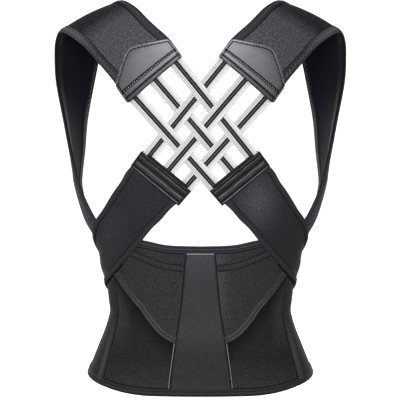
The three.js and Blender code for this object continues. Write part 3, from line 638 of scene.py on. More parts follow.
class Value:
    """A number in a material: Python maths on it adds Math nodes."""

    def __init__(self, graph, socket):
        self.graph, self.socket = graph, socket

    def maths(self, operation, *inputs, clamp=False):
        """The outcome of a Math node."""
        sockets = dict(enumerate(inputs))
        node = self.graph.node("ShaderNodeMath", sockets, operation=operation, use_clamp=clamp)
        return Value(self.graph, node.outputs[0])

    def __add__(self, other):
        return self.maths("ADD", self, other)

    def __sub__(self, other):
        return self.maths("SUBTRACT", self, other)

    def __rsub__(self, other):
        return self.maths("SUBTRACT", other, self)

    def __mul__(self, other):
        return self.maths("MULTIPLY", self, other)

    def __abs__(self):
        return self.maths("ABSOLUTE", self)

    def wave(self, pitch):
        """A wave from 0 to 1 with a pitch in metres."""
        return self.maths("SINE", self * (2 * math.pi / pitch)) * 0.5 + 0.5

    def band(self, middle, half, soft):
        """1 within half of the middle, fading to 0 over a soft edge."""
        away = abs(self - middle)
        return self.maths("MULTIPLY_ADD", away, -1 / soft, half / soft + 0.5, clamp=True)

    def rise(self, low, high):
        """0 up to low, 1 from high on, and even between them."""
        return self.maths("MULTIPLY_ADD", self, 1 / (high - low), -low / (high - low), clamp=True)


class Graph:
    """A material's nodes, on the cloth's own coordinates in metres."""

    def __init__(self, name):
        self.material = bpy.data.materials.new(name)
        self.material.use_nodes = True
        self.tree = self.material.node_tree
        self.inputs = self.tree.nodes["Principled BSDF"].inputs
        self.place = self.node("ShaderNodeUVMap", {}, uv_map="cloth").outputs[0]
        split = self.node("ShaderNodeSeparateXYZ", {0: self.place})
        self.along, self.across = Value(self, split.outputs[0]), Value(self, split.outputs[1])

    def node(self, kind, sockets, **settings):
        """A node of a kind, its settings set first, then the values or links of its sockets."""
        node = self.tree.nodes.new(kind)
        for name, value in settings.items():
            setattr(node, name, value)
        for key, value in sockets.items():
            if isinstance(value, Value):
                value = value.socket
            if isinstance(value, bpy.types.NodeSocket):
                self.tree.links.new(value, node.inputs[key])
            else:
                node.inputs[key].default_value = value
        return node

    def noise(self, scale, detail, stretch=None):
        """Noise from 0 to 1, with a scale in cycles a metre, and drawn out along or across the cloth."""
        place = self.place
        if stretch:
            scaled = {0: place, 3: (*stretch, 1.0)}
            place = self.node("ShaderNodeMapping", scaled, vector_type="POINT").outputs[0]
        node = self.node("ShaderNodeTexNoise", {"Vector": place, "Scale": scale, "Detail": detail})
        return Value(self, node.outputs["Fac"])

    def mask(self, name):
        """A number kept on the piece's points."""
        return Value(self, self.node("ShaderNodeAttribute", {}, attribute_name=name).outputs["Fac"])

    def spot(self, axis):
        """The piece's own x, y or z."""
        place = self.node("ShaderNodeTexCoord", {}).outputs["Object"]
        return Value(self, self.node("ShaderNodeSeparateXYZ", {0: place}).outputs[axis])

    def shade(self, colour, amount):
        """A colour made lighter or darker by a value."""
        sockets = {0: tuple(colour), "Scale": amount}
        return self.node("ShaderNodeVectorMath", sockets, operation="SCALE").outputs[0]

    def blend(self, factor, first, second):
        """A colour between two."""
        return self.node("ShaderNodeMix", {0: factor, 6: first, 7: second}, data_type="RGBA").outputs[2]

    def finish(self, colour, roughness, shine, height=None, depth=0.0, **others):
        """The finished material: colour, shine, relief to a depth in metres, and other inputs by name."""
        if isinstance(colour, bpy.types.NodeSocket):
            self.tree.links.new(colour, self.inputs["Base Color"])
        else:
            self.inputs["Base Color"].default_value = (*colour, 1.0)
        if height is not None:
            relief = self.node("ShaderNodeBump", {"Height": height, "Distance": depth, "Strength": 1.0})
            self.tree.links.new(relief.outputs[0], self.inputs["Normal"])
        self.inputs["Roughness"].default_value = roughness
        self.inputs["Specular IOR Level"].default_value = shine
        for name, value in others.items():
            self.inputs[name.replace("_", " ").title()].default_value = value
        return self.material


class Looks:
    """Materials of the corrector, made once each."""

    # Threads: share of the thread's colour, roughness, shine
    # The darkest thread also colours the dark strips that stand in for shadows: painted shadow
    threads = {
        "bright_thread": (7, 0.5, 0.4), "pale_thread": (3.6, 0.5, 0.4), "light_thread": (1.9, 0.5, 0.3),
        "thread": (1, 0.6, 0.4), "dim_thread": (0.4, 0.7, 0.2), "dark_thread": (0.12, 0.8, 0.05),
    }

    # Plain knits: colour and share of it, pitch and strength of the ribs, mottling, grain and sheen
    # wing_knit and fold_cloth are lighter copies of the belt's and the tension panels' cloth: painted light
    # by the sides and a painted highlight on the fold
    knits = {
        "wing_knit": ("belt", 1.35, 0.0016, 0.10, 0.4), "fold_cloth": ("tension", 1.35, 0.0014, 0.10, 0.3),
        "cover_cloth": ("tension", 0.8, 0.0014, 0.10, 0.3),
        "elastic_tape": ("elastic", 1.25, 0.0012, 0.12, 0.2, 0.4, 0.05),
    }

    # Plain tapes: share of the bindings' colour
    tapes = {"edge_tape": 1.0, "low_tape": 0.75, "dark_lining_tape": 0.15}

    def __init__(self, colours):
        self.colours = colours

    def get(self, name):
        """The material of a look."""
        return bpy.data.materials.get(name) or self.make(name, Graph(name))

    def make(self, name, g):
        """A look's material, from a table or from the look's own function."""
        if name in self.threads:
            share, roughness, shine = self.threads[name]
            return g.finish([c * share for c in self.colours.thread], roughness, shine)
        if name in self.knits:
            colour, share, *cloth = self.knits[name]
            return self.knit(g, [c * share for c in getattr(self.colours, colour)], *cloth)
        if name in self.tapes:
            return self.tape(g, self.tapes[name])
        return getattr(self, name)(g)

    def knit(self, g, colour, pitch, rib, mottle, grain=0.5, sheen=0.03, roughness=0.85, light=1.0, loop=1.6):
        """Close knit: fine ribs along the cloth, grain and soft mottling."""
        ribs = g.across.wave(pitch)
        fine, loops, soft = g.noise(1500, 3), g.noise(520, 2), g.noise(130, 3)
        amount = (fine - 0.5) * grain + (loops - 0.5) * loop + (soft - 0.5) * mottle
        amount = ((ribs - 0.5) * rib + amount + 1.0) * light
        return g.finish(g.shade(colour, amount), roughness, 0.08, ribs * 0.5 + fine, 0.00012,
                        sheen_weight=sheen, sheen_roughness=0.5)

    def belt_knit(self, g):
        """The belt's knit, with painted light by the side seams, lighter near the lower hem, and a painted
        shadow below the tension panel's fold.
        """
        out, z = abs(g.spot(0)), g.spot(2)
        # Painted light by the side seams; lighter near the lower hem
        light = out.rise(0.085, 0.1) * z.rise(-0.06, -0.02) * 0.9 + (1.0 - z.rise(-0.104, -0.06)) * 0.75 + 0.9
        # Painted shadow on the belt below the tension panel's folded edge
        curve = out * 26 - 1.9
        below = out * 1.19 - z + curve * curve * 0.0066 - 0.097
        light = light * (below.rise(0.0, 0.022) * 0.5 + 0.5)
        return self.knit(g, self.colours.belt, 0.0016, 0.10, 0.5, light=light, loop=2.4)

    def casing_knit(self, g):
        """The stay casings' knit, with a painted highlight low down."""
        light = 2.6 - g.spot(2).rise(-0.04, -0.005) * 1.6
        return self.knit(g, self.colours.belt, 0.0016, 0.10, 0.3, light=light)

    def centre_cloth(self, g):
        """The centre panel's knit, with painted shade below the waist and painted light higher up; lighter
        again at its foot.
        """
        z = g.spot(2)
        light = z.rise(-0.055, -0.03) * 0.28 + z.rise(0.03, 0.07) * 0.4 + (1.0 - z.rise(-0.106, -0.09)) * 0.3
        return self.knit(g, self.colours.panel, 0.0016, 0.12, 0.4, light=light + 0.72, loop=1.1)

    def tension_cloth(self, g):
        """The tension panels' knit, with a painted highlight by the centre's right seam."""
        light = g.spot(0).band(0.022, 0.008, 0.02) * g.spot(2).rise(-0.02, 0.0) * 0.8 + 1.0
        return self.knit(g, self.colours.tension, 0.0016, 0.10, 0.45, light=light, loop=2.2)

    @staticmethod
    def painted_shade_over_shoulder(g):
        """Painted shade over the shoulder, where the straps turn away from the light."""
        return 1.0 - (g.along.rise(0.1, 0.13) - g.along.rise(0.18, 0.24)) * 0.82

    def brushed_cloth(self, g):
        """Brushed loop cloth: short fibres with a soft nap, darkened over the shoulder by painted shade."""
        fine, nap, soft = g.noise(1100, 4), g.noise(440, 3, (0.7, 1.0)), g.noise(70, 3)
        # Painted shade over the shoulder; the nap's grain is kept in the shaded part
        lies = self.painted_shade_over_shoulder(g)
        amount = ((fine - 0.5) * 1.4 + (nap - 0.5) * 2.7 + (soft - 0.5) * 0.45 + 1.0) * lies
        amount = amount + (nap - 0.5) * (1.0 - lies)
        return g.finish(g.shade(self.colours.strap, amount), 0.95, 0.08, fine + nap, 0.0003,
                        sheen_weight=0.05, sheen_roughness=0.6)

    def lining_cloth(self, g):
        """The straps' smooth lining, with painted light low down, under the arm."""
        light = 3.4 - g.spot(2).rise(0.158, 0.198) * 2.5
        return self.knit(g, self.colours.lining, 0.0014, 0.10, 0.3, sheen=0.0, roughness=0.9, light=light,
                         loop=0.4)

    def elastic_cloth(self, g):
        """The cross straps' knit, with two painted highlights: on the right strap's middle and on the left
        strap's outer part.
        """
        x, z = g.spot(0), g.spot(2)
        light = x.band(0.07, 0.018, 0.03) * z.band(0.135, 0.02, 0.05) * 1.9 + 1.0
        light = light + x.band(-0.115, 0.015, 0.03) * z.band(0.09, 0.03, 0.03) * 0.5
        return self.knit(g, self.colours.elastic, 0.0012, 0.12, 0.25, grain=0.4, sheen=0.05, roughness=0.8,
                         light=light)

    def tape(self, g, light):
        """Folded tape: fine ribs across it."""
        ribs, fine = g.along.wave(0.0011), g.noise(1600, 2)
        amount = ((ribs - 0.5) * 0.2 + (fine - 0.5) * 0.5 + 1.0) * light
        colour = g.shade(self.colours.binding, amount)
        return g.finish(colour, 0.75, 0.15, ribs + fine, 0.0001, sheen_weight=0.03)

    def strap_tape(self, g):
        """The tape by the neck, with painted shade over the shoulder as on the cloth."""
        return self.tape(g, self.painted_shade_over_shoulder(g))

    def arm_tape(self, g):
        """The tape by the arm, with painted light over the shoulder, where it faces the lamps."""
        return self.tape(g, (g.along.rise(0.08, 0.12) - g.along.rise(0.2, 0.3)) * 1.2 + 1.0)

    def lining_tape(self, g):
        """The tape's inner face by the neck, with painted shade high up."""
        return self.tape(g, (1.0 - g.spot(2).rise(0.245, 0.275)) * 1.6 + 0.35)

    def patch_hide(self, g):
        """Soft grained leather with a creased roll; painted highlights on the lip, the middle and the roll's
        ridge, painted shade in the groove and the creases.
        """
        rim, roll, arm = g.mask("rim"), g.mask("roll"), g.mask("arm")
        grain, pores, soft = g.noise(900, 4), g.noise(380, 2), g.noise(60, 2)
        # Speckled glints along the lip, and the lip's own paleness further down, are painted highlights
        lip_glints = g.noise(560, 2) - 0.5
        lip = 1.0 - rim.rise(0.0026, 0.0034)
        middle = rim.rise(0.004, 0.013) * roll.rise(0.0135, 0.018)
        # Painted shade in the stitched groove by the rim and in the roll's two creases
        dark = rim.band(0.0039, 0.0009, 0.0009) * 0.7
        for at, half, deep in ((0.0036, 0.0012, 0.98), (0.0119, 0.002, 0.92)):
            crease = roll.band(at, half, 0.0007) * deep * rim.rise(0.0015, 0.003)
            dark = dark.maths("MAXIMUM", dark, crease)
        # Painted shade at the roll's rounded lower edge
        end = roll.rise(-0.0014, -0.0004) * 0.7 + 0.3
        # Painted highlights: the roll lighter above its lower lip, its ridge and the middle
        amount = roll.rise(0.0042, 0.0075) * 0.32 + roll.band(0.0083, 0.0007, 0.0012) * 0.34 + middle * 0.1
        # Painted light growing towards the neck's side of the patch; next, painted shade towards the point
        # and at the lower edge
        amount = (amount + lip * 0.24 + 0.48) * (arm * 11.5 + arm.rise(0.06, 0.086) * 0.5 + 0.38)
        amount = amount * (1.0 - roll.rise(0.034, 0.044) * 0.2) * end
        amount = amount + (grain - 0.5) * 0.5 + (pores - 0.5) * 0.5 + lip * lip_glints * 3.0 + (soft - 0.5) * 0.2
        colour = g.shade(self.colours.leather, amount * (1.0 - dark))
        return g.finish(colour, 0.5, 0.4, grain + soft, 0.0002, coat_weight=0.08, coat_roughness=0.4)

    def cap_hide(self, g):
        """Dark leather, with painted shade in the folds between its ribs and painted highlights on their
        tops.
        """
        grain, creases, tall = g.noise(1100, 4), g.noise(420, 2, (1.0, 0.14)), g.mask("tall")
        amount = ((grain - 0.5) * 0.6 + (creases - 0.5) * 2.4 + 1.0) * (tall * tall * 2.5 + 0.05)
        return g.finish(g.shade(self.colours.cap, amount), 0.5, 0.15, grain, 0.00015)

    def woven_band(self, g):
        """Woven elastic: pale ground, one dark stripe, fine lines by one edge and ribs across, with painted
        shade near the stripe and along the band's edges.
        """
        c = g.across
        stripe, core = c.band(0.0, 0.0029, 0.0004), c.band(0.0, 0.0011, 0.0008)
        lines = c.band(-0.0048, 0.0004, 0.0003) + c.band(-0.0068, 0.0004, 0.0003)
        # A soft painted shadow beside the stripe on the other side, added to the lines
        lines = lines + c.band(0.0047, 0.0006, 0.001) * 0.4
        # Painted shade near the stripe and along the band's edges
        painted_band_shade = c.band(0.0, 0.0046, 0.005) + (1.0 - c.band(0.0, 0.0084, 0.0004)) * 2.0
        ribs, dots, fine = g.along.wave(0.0012), g.along.wave(0.0024), g.noise(1500, 2)
        ground = 1.0 - lines * 0.5 - painted_band_shade * 0.1 - (ribs * 0.04) + (fine - 0.5) * 0.12
        dark = g.shade(self.colours.stripe, core * (dots * 0.9 + 2.1) + 0.12)
        colour = g.blend(stripe, g.shade(self.colours.band, ground), dark)
        return g.finish(colour, 0.7, 0.12, ribs + fine * 0.4 - lines * 0.5, 0.00015)

    def hook_loops(self, g):
        """Hook tape: rows of tiny stiff loops."""
        loops = g.along.wave(0.0018) * g.across.wave(0.0018)
        return g.finish(g.shade(self.colours.hook, loops * 1.2 + 0.5), 0.8, 0.3, loops, 0.0004)


class Line:
    """A line on a flat cloth, with places along it and sideways from it."""

    def __init__(self, x, z):
        self.points = np.stack([x, z], -1)
        self.stops = stops_of(self.points)
        self.length = float(self.stops[-1])
        self.run = unit(np.gradient(self.points, axis=0))

    def at(self, s, d):
        """x and z at length s, d to the side."""
        inside = np.clip(s, 0, self.length)
        x, z = (np.interp(inside, self.stops, self.points[:, k]) for k in (0, 1))
        run_x, run_z = (np.interp(inside, self.stops, self.run[:, k]) for k in (0, 1))
        return x - run_z * d + run_x * (s - inside), z + run_x * d + run_z * (s - inside)


def joined(*rows):
    """Threads of several rows of stitches: starts, ends and upward directions."""
    return [np.concatenate([np.reshape(r[k], (-1, 3)) for r in rows]) for k in range(3)]


def sewn(place, first, last, pitch, stroke, at, lean=0.0, zigzag=0.0, h=0.0, facing=1):
    """Threads of a row of stitches on a surface, or of one row for each place across it."""
    s = first + (np.arange(max(1, int((last - first) / pitch))) + 0.5) * pitch
    swing = np.where(np.arange(len(s)) % 2 == 0, 1.0, -1.0) * zigzag / 2
    rows = []
    for d in np.atleast_1d(at):
        start = place(s - stroke / 2, d - swing - lean, h)
        end = place(s + stroke / 2, d + swing + lean, h)
        rows.append((start, end, unit(place(s, d + 0 * s, h + 1.0) - place(s, d + 0 * s, h)) * facing))
    return joined(*rows)


def add_back(m):
    """The belt's back between the side seams, and its hems. Gives the cloth and what is sewn on it."""
    form = m.form
    seam, thick = form.seam_angle, form.belt_thickness
    columns = np.linspace(-seam, seam, 121)

    def back(s, v, h, up=0.0):
        z = form.belt_height(s, v) + up
        return form.on_body(s * form.seam_at(z) / seam, z, h)

    cloth = m.sweep("back_cloth", back, columns, strip(0, 1, 0, thick, form.belt_tall, 56), "belt_knit",
                    "belt_cloth", ["back_panel"], run=form.degree, half=form.belt_tall)
    trims = []
    for name, v, inwards, look, thread in HEMS:
        def edge(s, d, h):
            return back(s, v, h, inwards * d)

        dots = sewn(edge, -seam + 1, seam - 1, 1.6, 0.85, (1.9, 6.0), h=thick + TAPE)
        light_dots = sewn(edge, -seam + 1, seam - 1, 1.6, 0.7, 3.9, h=thick + TAPE)
        trims += [
            m.sweep(f"{name}_edge_tape", edge, columns, fold(form.hem_width, thick), look, "binding_tape",
                    [f"{name}_hem"], run=form.degree),
            m.stitches(f"{name}_edge_stitches", dots, 0.6, 0.15, "dark_thread"),
            m.stitches(f"{name}_edge_dots", light_dots, 0.55, 0.2, thread),
            m.seam(f"{name}_edge_seam", edge, columns[1:-1], form.hem_width + 0.5, 1.3, thick + 0.1),
        ]
    return cloth, trims


def add_wings(m):
    """The wings round to the front, their edge tapes, and the hook patch between them."""
    form = m.form
    seam, lap, thick = form.seam_angle, form.lap_angle / 2, form.belt_thickness
    columns = np.linspace(seam, 180 + lap, 97)
    for word in m.sides():
        def wing(s, v, h, up=0.0):
            z = form.belt_height(s, v) + up
            t = (s - seam) / (180 + lap - seam)
            angle = s + (form.seam_at(z) - seam) * (1 - np.clip(t, 0, 1)) ** 2 + 0.2 * (1 - t)
            lift = form.wing_lift * ramp(angle, 180 - lap - 16, 180 - lap - 3) if m.side == 1 else 0
            return form.on_body(angle, z, h + lift)

        cloth = m.sweep(f"wing_cloth_{word}", wing, columns, strip(0, 1, 0, thick, form.belt_tall, 48),
                        "wing_knit", "belt_cloth", [f"wing_{word}"], run=form.degree, half=form.belt_tall)
        trims = []
        for name, v, inwards, look, _ in HEMS:
            def edge(s, d, h):
                return wing(s, v, h, inwards * d)

            dots = sewn(edge, seam + 1, 180 + lap - 1, 1.15, 0.7, (3.0, 7.6), h=thick + TAPE)
            trims += [
                m.sweep(f"wing_{name}_tape_{word}", edge, columns, fold(form.hem_width, thick), look,
                        "binding_tape", run=form.degree),
                m.stitches(f"wing_{name}_stitches_{word}", dots, 0.3, 0.25),
            ]

    def closure(s, v, h):
        return form.on_body(180 + s, form.belt_height(180, v), h)

    half, tall = lap - 0.8, 116
    outline = strip(0.12, 0.88, form.on_belt + 0.2, form.on_belt + 1.4, tall, 30)
    hook = m.sweep("closure_hooks", closure, (-half, half, 25), outline, "hook_loops", "hook_tape",
                   ["closure_hook_patch"], run=form.degree, half=tall)


def add_centre(m):
    """The centre panel and its seams."""
    form, low, high = m.form, m.form.panel_low, m.form.panel_high
    level, top = form.on_belt, form.on_belt + 1.4

    def centre(s, v, h):
        return form.back_at(v * form.centre_half(s), s, h)

    cloth = m.sweep("centre_cloth", centre, (low + 0.4, high - 0.4, 91), strip(-1, 1, level, top, 24, 30),
                    "centre_cloth", "panel_cloth", ["centre_panel"], half=24)
    edges = []
    for sign in (-1, 1):
        def by_seam(s, d, h):
            return form.back_at(sign * (form.centre_half(s) - d), s, h)

        edges.append(sewn(by_seam, low, high, 2.6, 1.7, 1.5, h=top))
    upper = sewn(lambda s, d, h: form.back_at(s, high - d, h), -15.5, 15.5, 1.9, 1.5, 1.1, h=top)
    lower = sewn(lambda s, d, h: form.back_at(s, low + d, h), -34, 34, 2.4, 1.6, 2.2, h=top)
    m.stitches("centre_stitches", joined(*edges), 0.35, look="dark_thread")
    m.stitches("centre_end_stitches", joined(upper, lower))
    m.seam("centre_top_piping", lambda s, d, h: form.back_at(s, high + 0.2 - d, h), (-16, 16, 30),
               0.0, 1.3, level + 1.2, "pale_thread")


def add_tension(m, word):
    """A tension panel and its yoke, with what is sewn on them. Gives what lies on the back beside them."""
    form, low, high = m.form, m.form.panel_low, m.form.panel_high
    level, top, reach = form.on_belt, form.on_belt + 1.6, form.yoke_reach

    def cloth(name, node, place, run, tall, count, across):
        outline = strip(0, 1, level, top, tall, across)
        return m.sweep(f"{name}_cloth_{word}", place, (0.004, 0.996, count), outline, "tension_cloth",
                       "belt_cloth", [f"{node}_{word}"], run=run, half=tall)

    place = form.beside_centre(form.tension_reach, form.tension_foot, form.tension_top)
    tension = cloth("tension", "tension_panel", place, run=92, tall=70, count=90, across=60)
    place = form.beside_centre(reach, lambda x: form.tension_top(x) + 0.8, lambda x: form.hem_foot(x) - 0.8)
    yoke = cloth("yoke", "yoke", place, run=74, tall=16, count=60, across=16)

    # Folded lower edge of the tension panel, with bars of thread towards the centre
    x = np.linspace(form.centre_half(-38) + 1.0, form.tension_reach, 200)
    foot = Line(x, form.tension_foot(x))

    def on_foot(s, d, h):
        return form.back_at(*foot.at(s, d), h)

    bars = sewn(on_foot, 5, foot.length * 0.66, 3.0, 0.3, (2.6, 6.2), lean=1.0, h=top + 1.2)
    between = sewn(on_foot, 6.5, foot.length * 0.66, 3.0, 1.3, 4.4, h=top + 1.2)
    tension_trims = [
        m.sweep(f"tension_fold_{word}", on_foot, (1.0, foot.length - 1, 120),
                strip(0.2, 8.4, top + 0.05, top + 1.25, across=10), "fold_cloth", "belt_cloth"),
        # Dark strip under the fold's edge: painted shadow on the belt
        m.seam(f"tension_shadow_{word}", on_foot, (1.0, foot.length - 2, 100), -1.5, 4.0, level),
        m.stitches(f"tension_fold_stitches_{word}", bars, 0.62, look="light_thread"),
        m.stitches(f"tension_fold_dots_{word}", between, 0.6, look="dark_thread"),
    ]

    # Cover band over the tension panel's upper edge
    x = np.linspace(form.centre_half(50) + 1.0, reach, 120)
    upper = Line(x, form.tension_top(x) + 4.2)

    def on_top(s, d, h):
        return form.back_at(*upper.at(s, d), h)

    bars = sewn(on_top, 1, upper.length - 1, 3.3, 0.2, 0.0, lean=2.6, h=top + 0.9)
    edges = sewn(on_top, 1, upper.length - 1, 2.0, 1.5, (-3.7, 3.7), h=top + 0.9)
    yoke_trims = [
        m.sweep(f"cover_band_{word}", on_top, (0.8, upper.length, 90),
                strip(-4.2, 4.2, top + 0.05, top + 0.95, across=8), "cover_cloth", "belt_cloth"),
        m.stitches(f"cover_band_stitches_{word}", bars, 0.42),
        m.stitches(f"cover_band_rows_{word}", edges, 0.55, look="dark_thread"),
    ]

    # Piping and seam beside the centre panel
    def beside(s, d, h):
        return form.back_at(form.centre_half(s) + d, s, h)

    back_trims = [
        m.sweep(f"centre_piping_{word}", beside, (low + 2, -41, 60),
                strip(1.0, 2.2, level - 0.3, level + 0.9, across=3), "pale_thread", "binding_tape"),
        m.seam(f"centre_seam_{word}", beside, (low + 0.5, high - 0.5, 90), 0.2, 1.5, level + 1.5),
    ]
    rows = sewn(beside, -36, 44, 2.0, 1.5, (2.2, 4.6), h=top)
    tension_trims.append(m.stitches(f"centre_side_stitches_{word}", rows, 0.3))
    return back_trims


def add_side_seam(m, word):
    """The stay casing and the side seam. Gives them, as they lie on the back."""
    form, level, thick = m.form, m.form.on_belt, m.form.belt_thickness
    foot, head = form.belt_height(form.seam_angle, 0), form.belt_height(form.seam_angle, 1)
    base, tall, aside = foot + form.hem_width + 0.4, 78, 2.8

    def stay(s, d, h):
        start = form.seam_at(s) + math.degrees(2 * aside / form.waist_width)
        return form.on_body(form.walk(start, d, s, level), s, h)

    def seam(s, d, h):
        return form.on_body(form.walk(form.seam_at(s), d, s, 3, steps=4), s, h)

    rows = sewn(seam, foot + 4, head - 4, 2.4, 1.6, (-1.8, 1.8), h=thick)
    return [
        m.sweep(f"stay_casing_{word}", stay, (base, base + tall, 60),
                strip(0, 7, level - 0.3, level + 1.6, across=8), "casing_knit", "binding_tape",
                [f"side_stay_{word}"], round_ends=2.0),
        m.stitches(f"side_seam_stitches_{word}", rows, 0.3),
        m.seam(f"side_seam_{word}", seam, (foot + 4, head - 4, 90), 0.0, 2.2, thick),
    ]


def add_belt(m):
    """The waist belt: back, wings, hems, sewn-on panels, seams and closure."""
    back, trims = add_back(m)
    add_wings(m)
    add_centre(m)
    for word in m.sides():
        trims += add_tension(m, word) + add_side_seam(m, word)
    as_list(trims)


def add_shoulder_straps(m):
    """The shoulder straps: brushed cloth, bound and stitched edges, patches and backing strips."""
    form, strap = m.form, m.form.shoulder_strap()
    length, thick, half = form.strap_length, form.strap_thickness, form.strap_width / 2
    lead = form.patch_side + (form.patch_length - form.patch_side) * 10 / half + 2
    down = form.on_bands - (form.on_belt - 0.88)
    for word in m.sides():
        outline = strap.inset(0.8, *strip(-1, 1, 0, thick, half, 56))
        cloth = m.sweep(f"strap_{word}", strap.at, (1, length - 1, 200), outline, "brushed_cloth",
                        "strap_cloth", [f"shoulder_strap_{word}"], half=half,
                        lining=("lining_cloth", thick / 2))
        trims = []
        for name, edge, broad, look, lining, thread, inner_thread, radius, wide in STRAP_EDGES:
            place, key = strap.by_edge(edge), f"{word}_{name}"
            row, zigzag = (place, lead - 4, length - 3, 3.2, 2.6, broad / 2), broad / 2 - 0.5
            outside = sewn(*row, zigzag=zigzag, h=thick + TAPE)
            inside = sewn(*row, zigzag=zigzag, h=-TAPE, facing=-1)
            trims += [
                m.sweep(f"strap_tape_{key}", place, (lead - 8, length - 1.2, 180), fold(broad, thick), look,
                        "binding_tape", [f"shoulder_binding_{key}"], lining=(lining, thick / 2)),
                m.stitches(f"strap_zigzag_{key}", outside, 0.42, 0.2, thread),
                m.stitches(f"strap_inner_zigzag_{key}", inside, radius, 0.2, inner_thread),
                m.seam(f"strap_edge_seam_{key}", place, (lead - 6, length - 3, 130), broad + 0.4, wide,
                       thick + 0.1),
            ]
        add_patch(m, strap, word)
        backing = m.sweep(f"backing_top_{word}", strap.at, (0.2, 11, 12),
                          strip(-1.025, 1.025, -down - 1, -down, half, 24), "hook_loops", "hook_tape",
                          [f"band_backing_top_{word}"], round_ends=0, half=half)


def patch_faces(shape):
    """Faces of a closed patch with a lower and an upper grid of points."""
    low = np.arange(shape[0] * shape[1]).reshape(shape)
    top = low + low.size

    def quads(*corners):
        return np.stack([c.ravel() for c in corners], -1).tolist()

    def wall(below, above, turned):
        corners = (below[:-1], below[1:], above[1:], above[:-1])
        return quads(*(corners[::-1] if turned else corners))

    faces = quads(top[:-1, :-1], top[1:, :-1], top[1:, 1:], top[:-1, 1:])
    faces += quads(low[:-1, :-1], low[:-1, 1:], low[1:, 1:], low[1:, :-1])
    faces += wall(low[:, 0], top[:, 0], False) + wall(low[:, -1], top[:, -1], True)
    return faces + wall(low[0], top[0], True) + wall(low[-1], top[-1], False)


def add_patch(m, strap, word):
    """A pointed leather patch with a rolled lower end."""
    form = m.form
    low = form.strap_thickness + 0.4
    half = form.strap_width / 2 * 0.965 + 2.9
    aside, point, start, more, lean = 0.9, 0.18, -1.75, 3.0, 3.5
    full = math.hypot(1, point) - point

    def end(x):
        """Length of the patch at x, with a soft point."""
        soft = (np.hypot(x / half, point) - point) / full
        return mix(form.patch_length + more, form.patch_side + more, soft) - lean * x / half

    def corner(x, r):
        """Length that a round corner takes off at x."""
        past = np.clip(np.abs(x) - (half - r), 0, r)
        return r - np.sqrt(r * r - past * past)

    def fall(x):
        """How far the patch bends down over the strap's edges."""
        return np.where(x > 0, 1.0, 3.0) * ramp(np.abs(x), half - 3.4, half)

    def on_strap(s, x, h):
        """Points over the strap at length s and x across, the patch set a little aside."""
        return strap.at(s, (x + aside) / strap.half_at(s), h)

    across = np.concatenate([
        np.linspace(-1, -0.9, 15)[:-1], np.linspace(-0.9, 0.9, 110), np.linspace(0.9, 1, 15)[1:]])
    along = np.concatenate([
        np.linspace(0, 0.06, 10)[:-1], np.linspace(0.06, 0.34, 40)[:-1], np.linspace(0.34, 0.9, 46)[:-1],
        np.linspace(0.9, 1, 14)])
    u, v = np.meshgrid(along, across, indexing="ij")
    x = v * half
    first, last = start + corner(x, 4.0), end(x) - corner(x, 5.0)
    s = mix(first, last, u)
    slope = np.gradient(end(across * half), across * half)[None, :]
    to_edge = half - np.abs(x)
    upper_rim = np.minimum((last - s) / np.hypot(1, slope), to_edge)
    rim = np.minimum(upper_rim, np.maximum(s - first, 0))
    body = 1.7 - 0.9 * bump(upper_rim, 3.9, 0.8) + 0.5 * ramp(upper_rim, 4.5, 10)
    roll = (
        0.8 * bump(s, 7.6, 2.2) - 1.0 * bump(s, 3.65, 0.7) + 0.1 * bump(s, 1.2, 1.2)
        - 1.2 * bump(s, 10.6, 0.6) - 1.2 * bump(s, 12.8, 0.6) - 0.5 * bump(s, 11.7, 1.2)
    )
    tall = (body + roll * ramp(to_edge, 2.6, 4.2)) * rounded(rim, 1.3)
    base = low - fall(x)
    points = np.stack([on_strap(s, x, base), on_strap(s, x, base + np.maximum(tall, 0.02))])
    # Distances kept on the points, by which patch_hide paints light and shade
    values = {"rim": upper_rim, "roll": s, "arm": half - x}
    patch = m.piece(f"patch_{word}", points, patch_faces(s.shape), "patch_hide", "patch_leather",
                    [f"shoulder_patch_{word}"], np.tile(np.stack([s, x], -1).reshape(-1, 2), (2, 1)),
                    values={key: np.tile(number.ravel(), 2) for key, number in values.items()})

    # Dark dashes in the groove near the rim, pale dots between the two creases of the roll
    inset = 3.9
    line_x = np.linspace(-half + inset, half - inset, 400)
    line_s = end(line_x) - inset * np.hypot(1, np.gradient(end(line_x), line_x)) - corner(line_x, 5.0)
    up = np.linspace(4.5, line_s[0], 12)[:-1]
    path = Line(
        np.concatenate([0 * up - half + inset, line_x, 0 * up + half - inset]),
        np.concatenate([up, line_s, up[::-1]]),
    )

    def groove(t, d, h):
        px, ps = path.at(t, d)
        return on_strap(ps, px, h - fall(px))

    dashes = sewn(groove, 0, path.length, 3.5, 1.9, 0, h=low + 1.1)
    dots = sewn(lambda t, d, h: on_strap(d, t, h), -half + 4.5, half - 4.5, 3.3, 1.2, 11.5, h=low + 1.3)
    m.stitches(f"patch_stitches_{word}", dashes, 1.2, 0.2, "dark_thread", "patch_leather")
    m.stitches(f"patch_dots_{word}", dots, 0.72, 0.35, "bright_thread", "patch_leather")


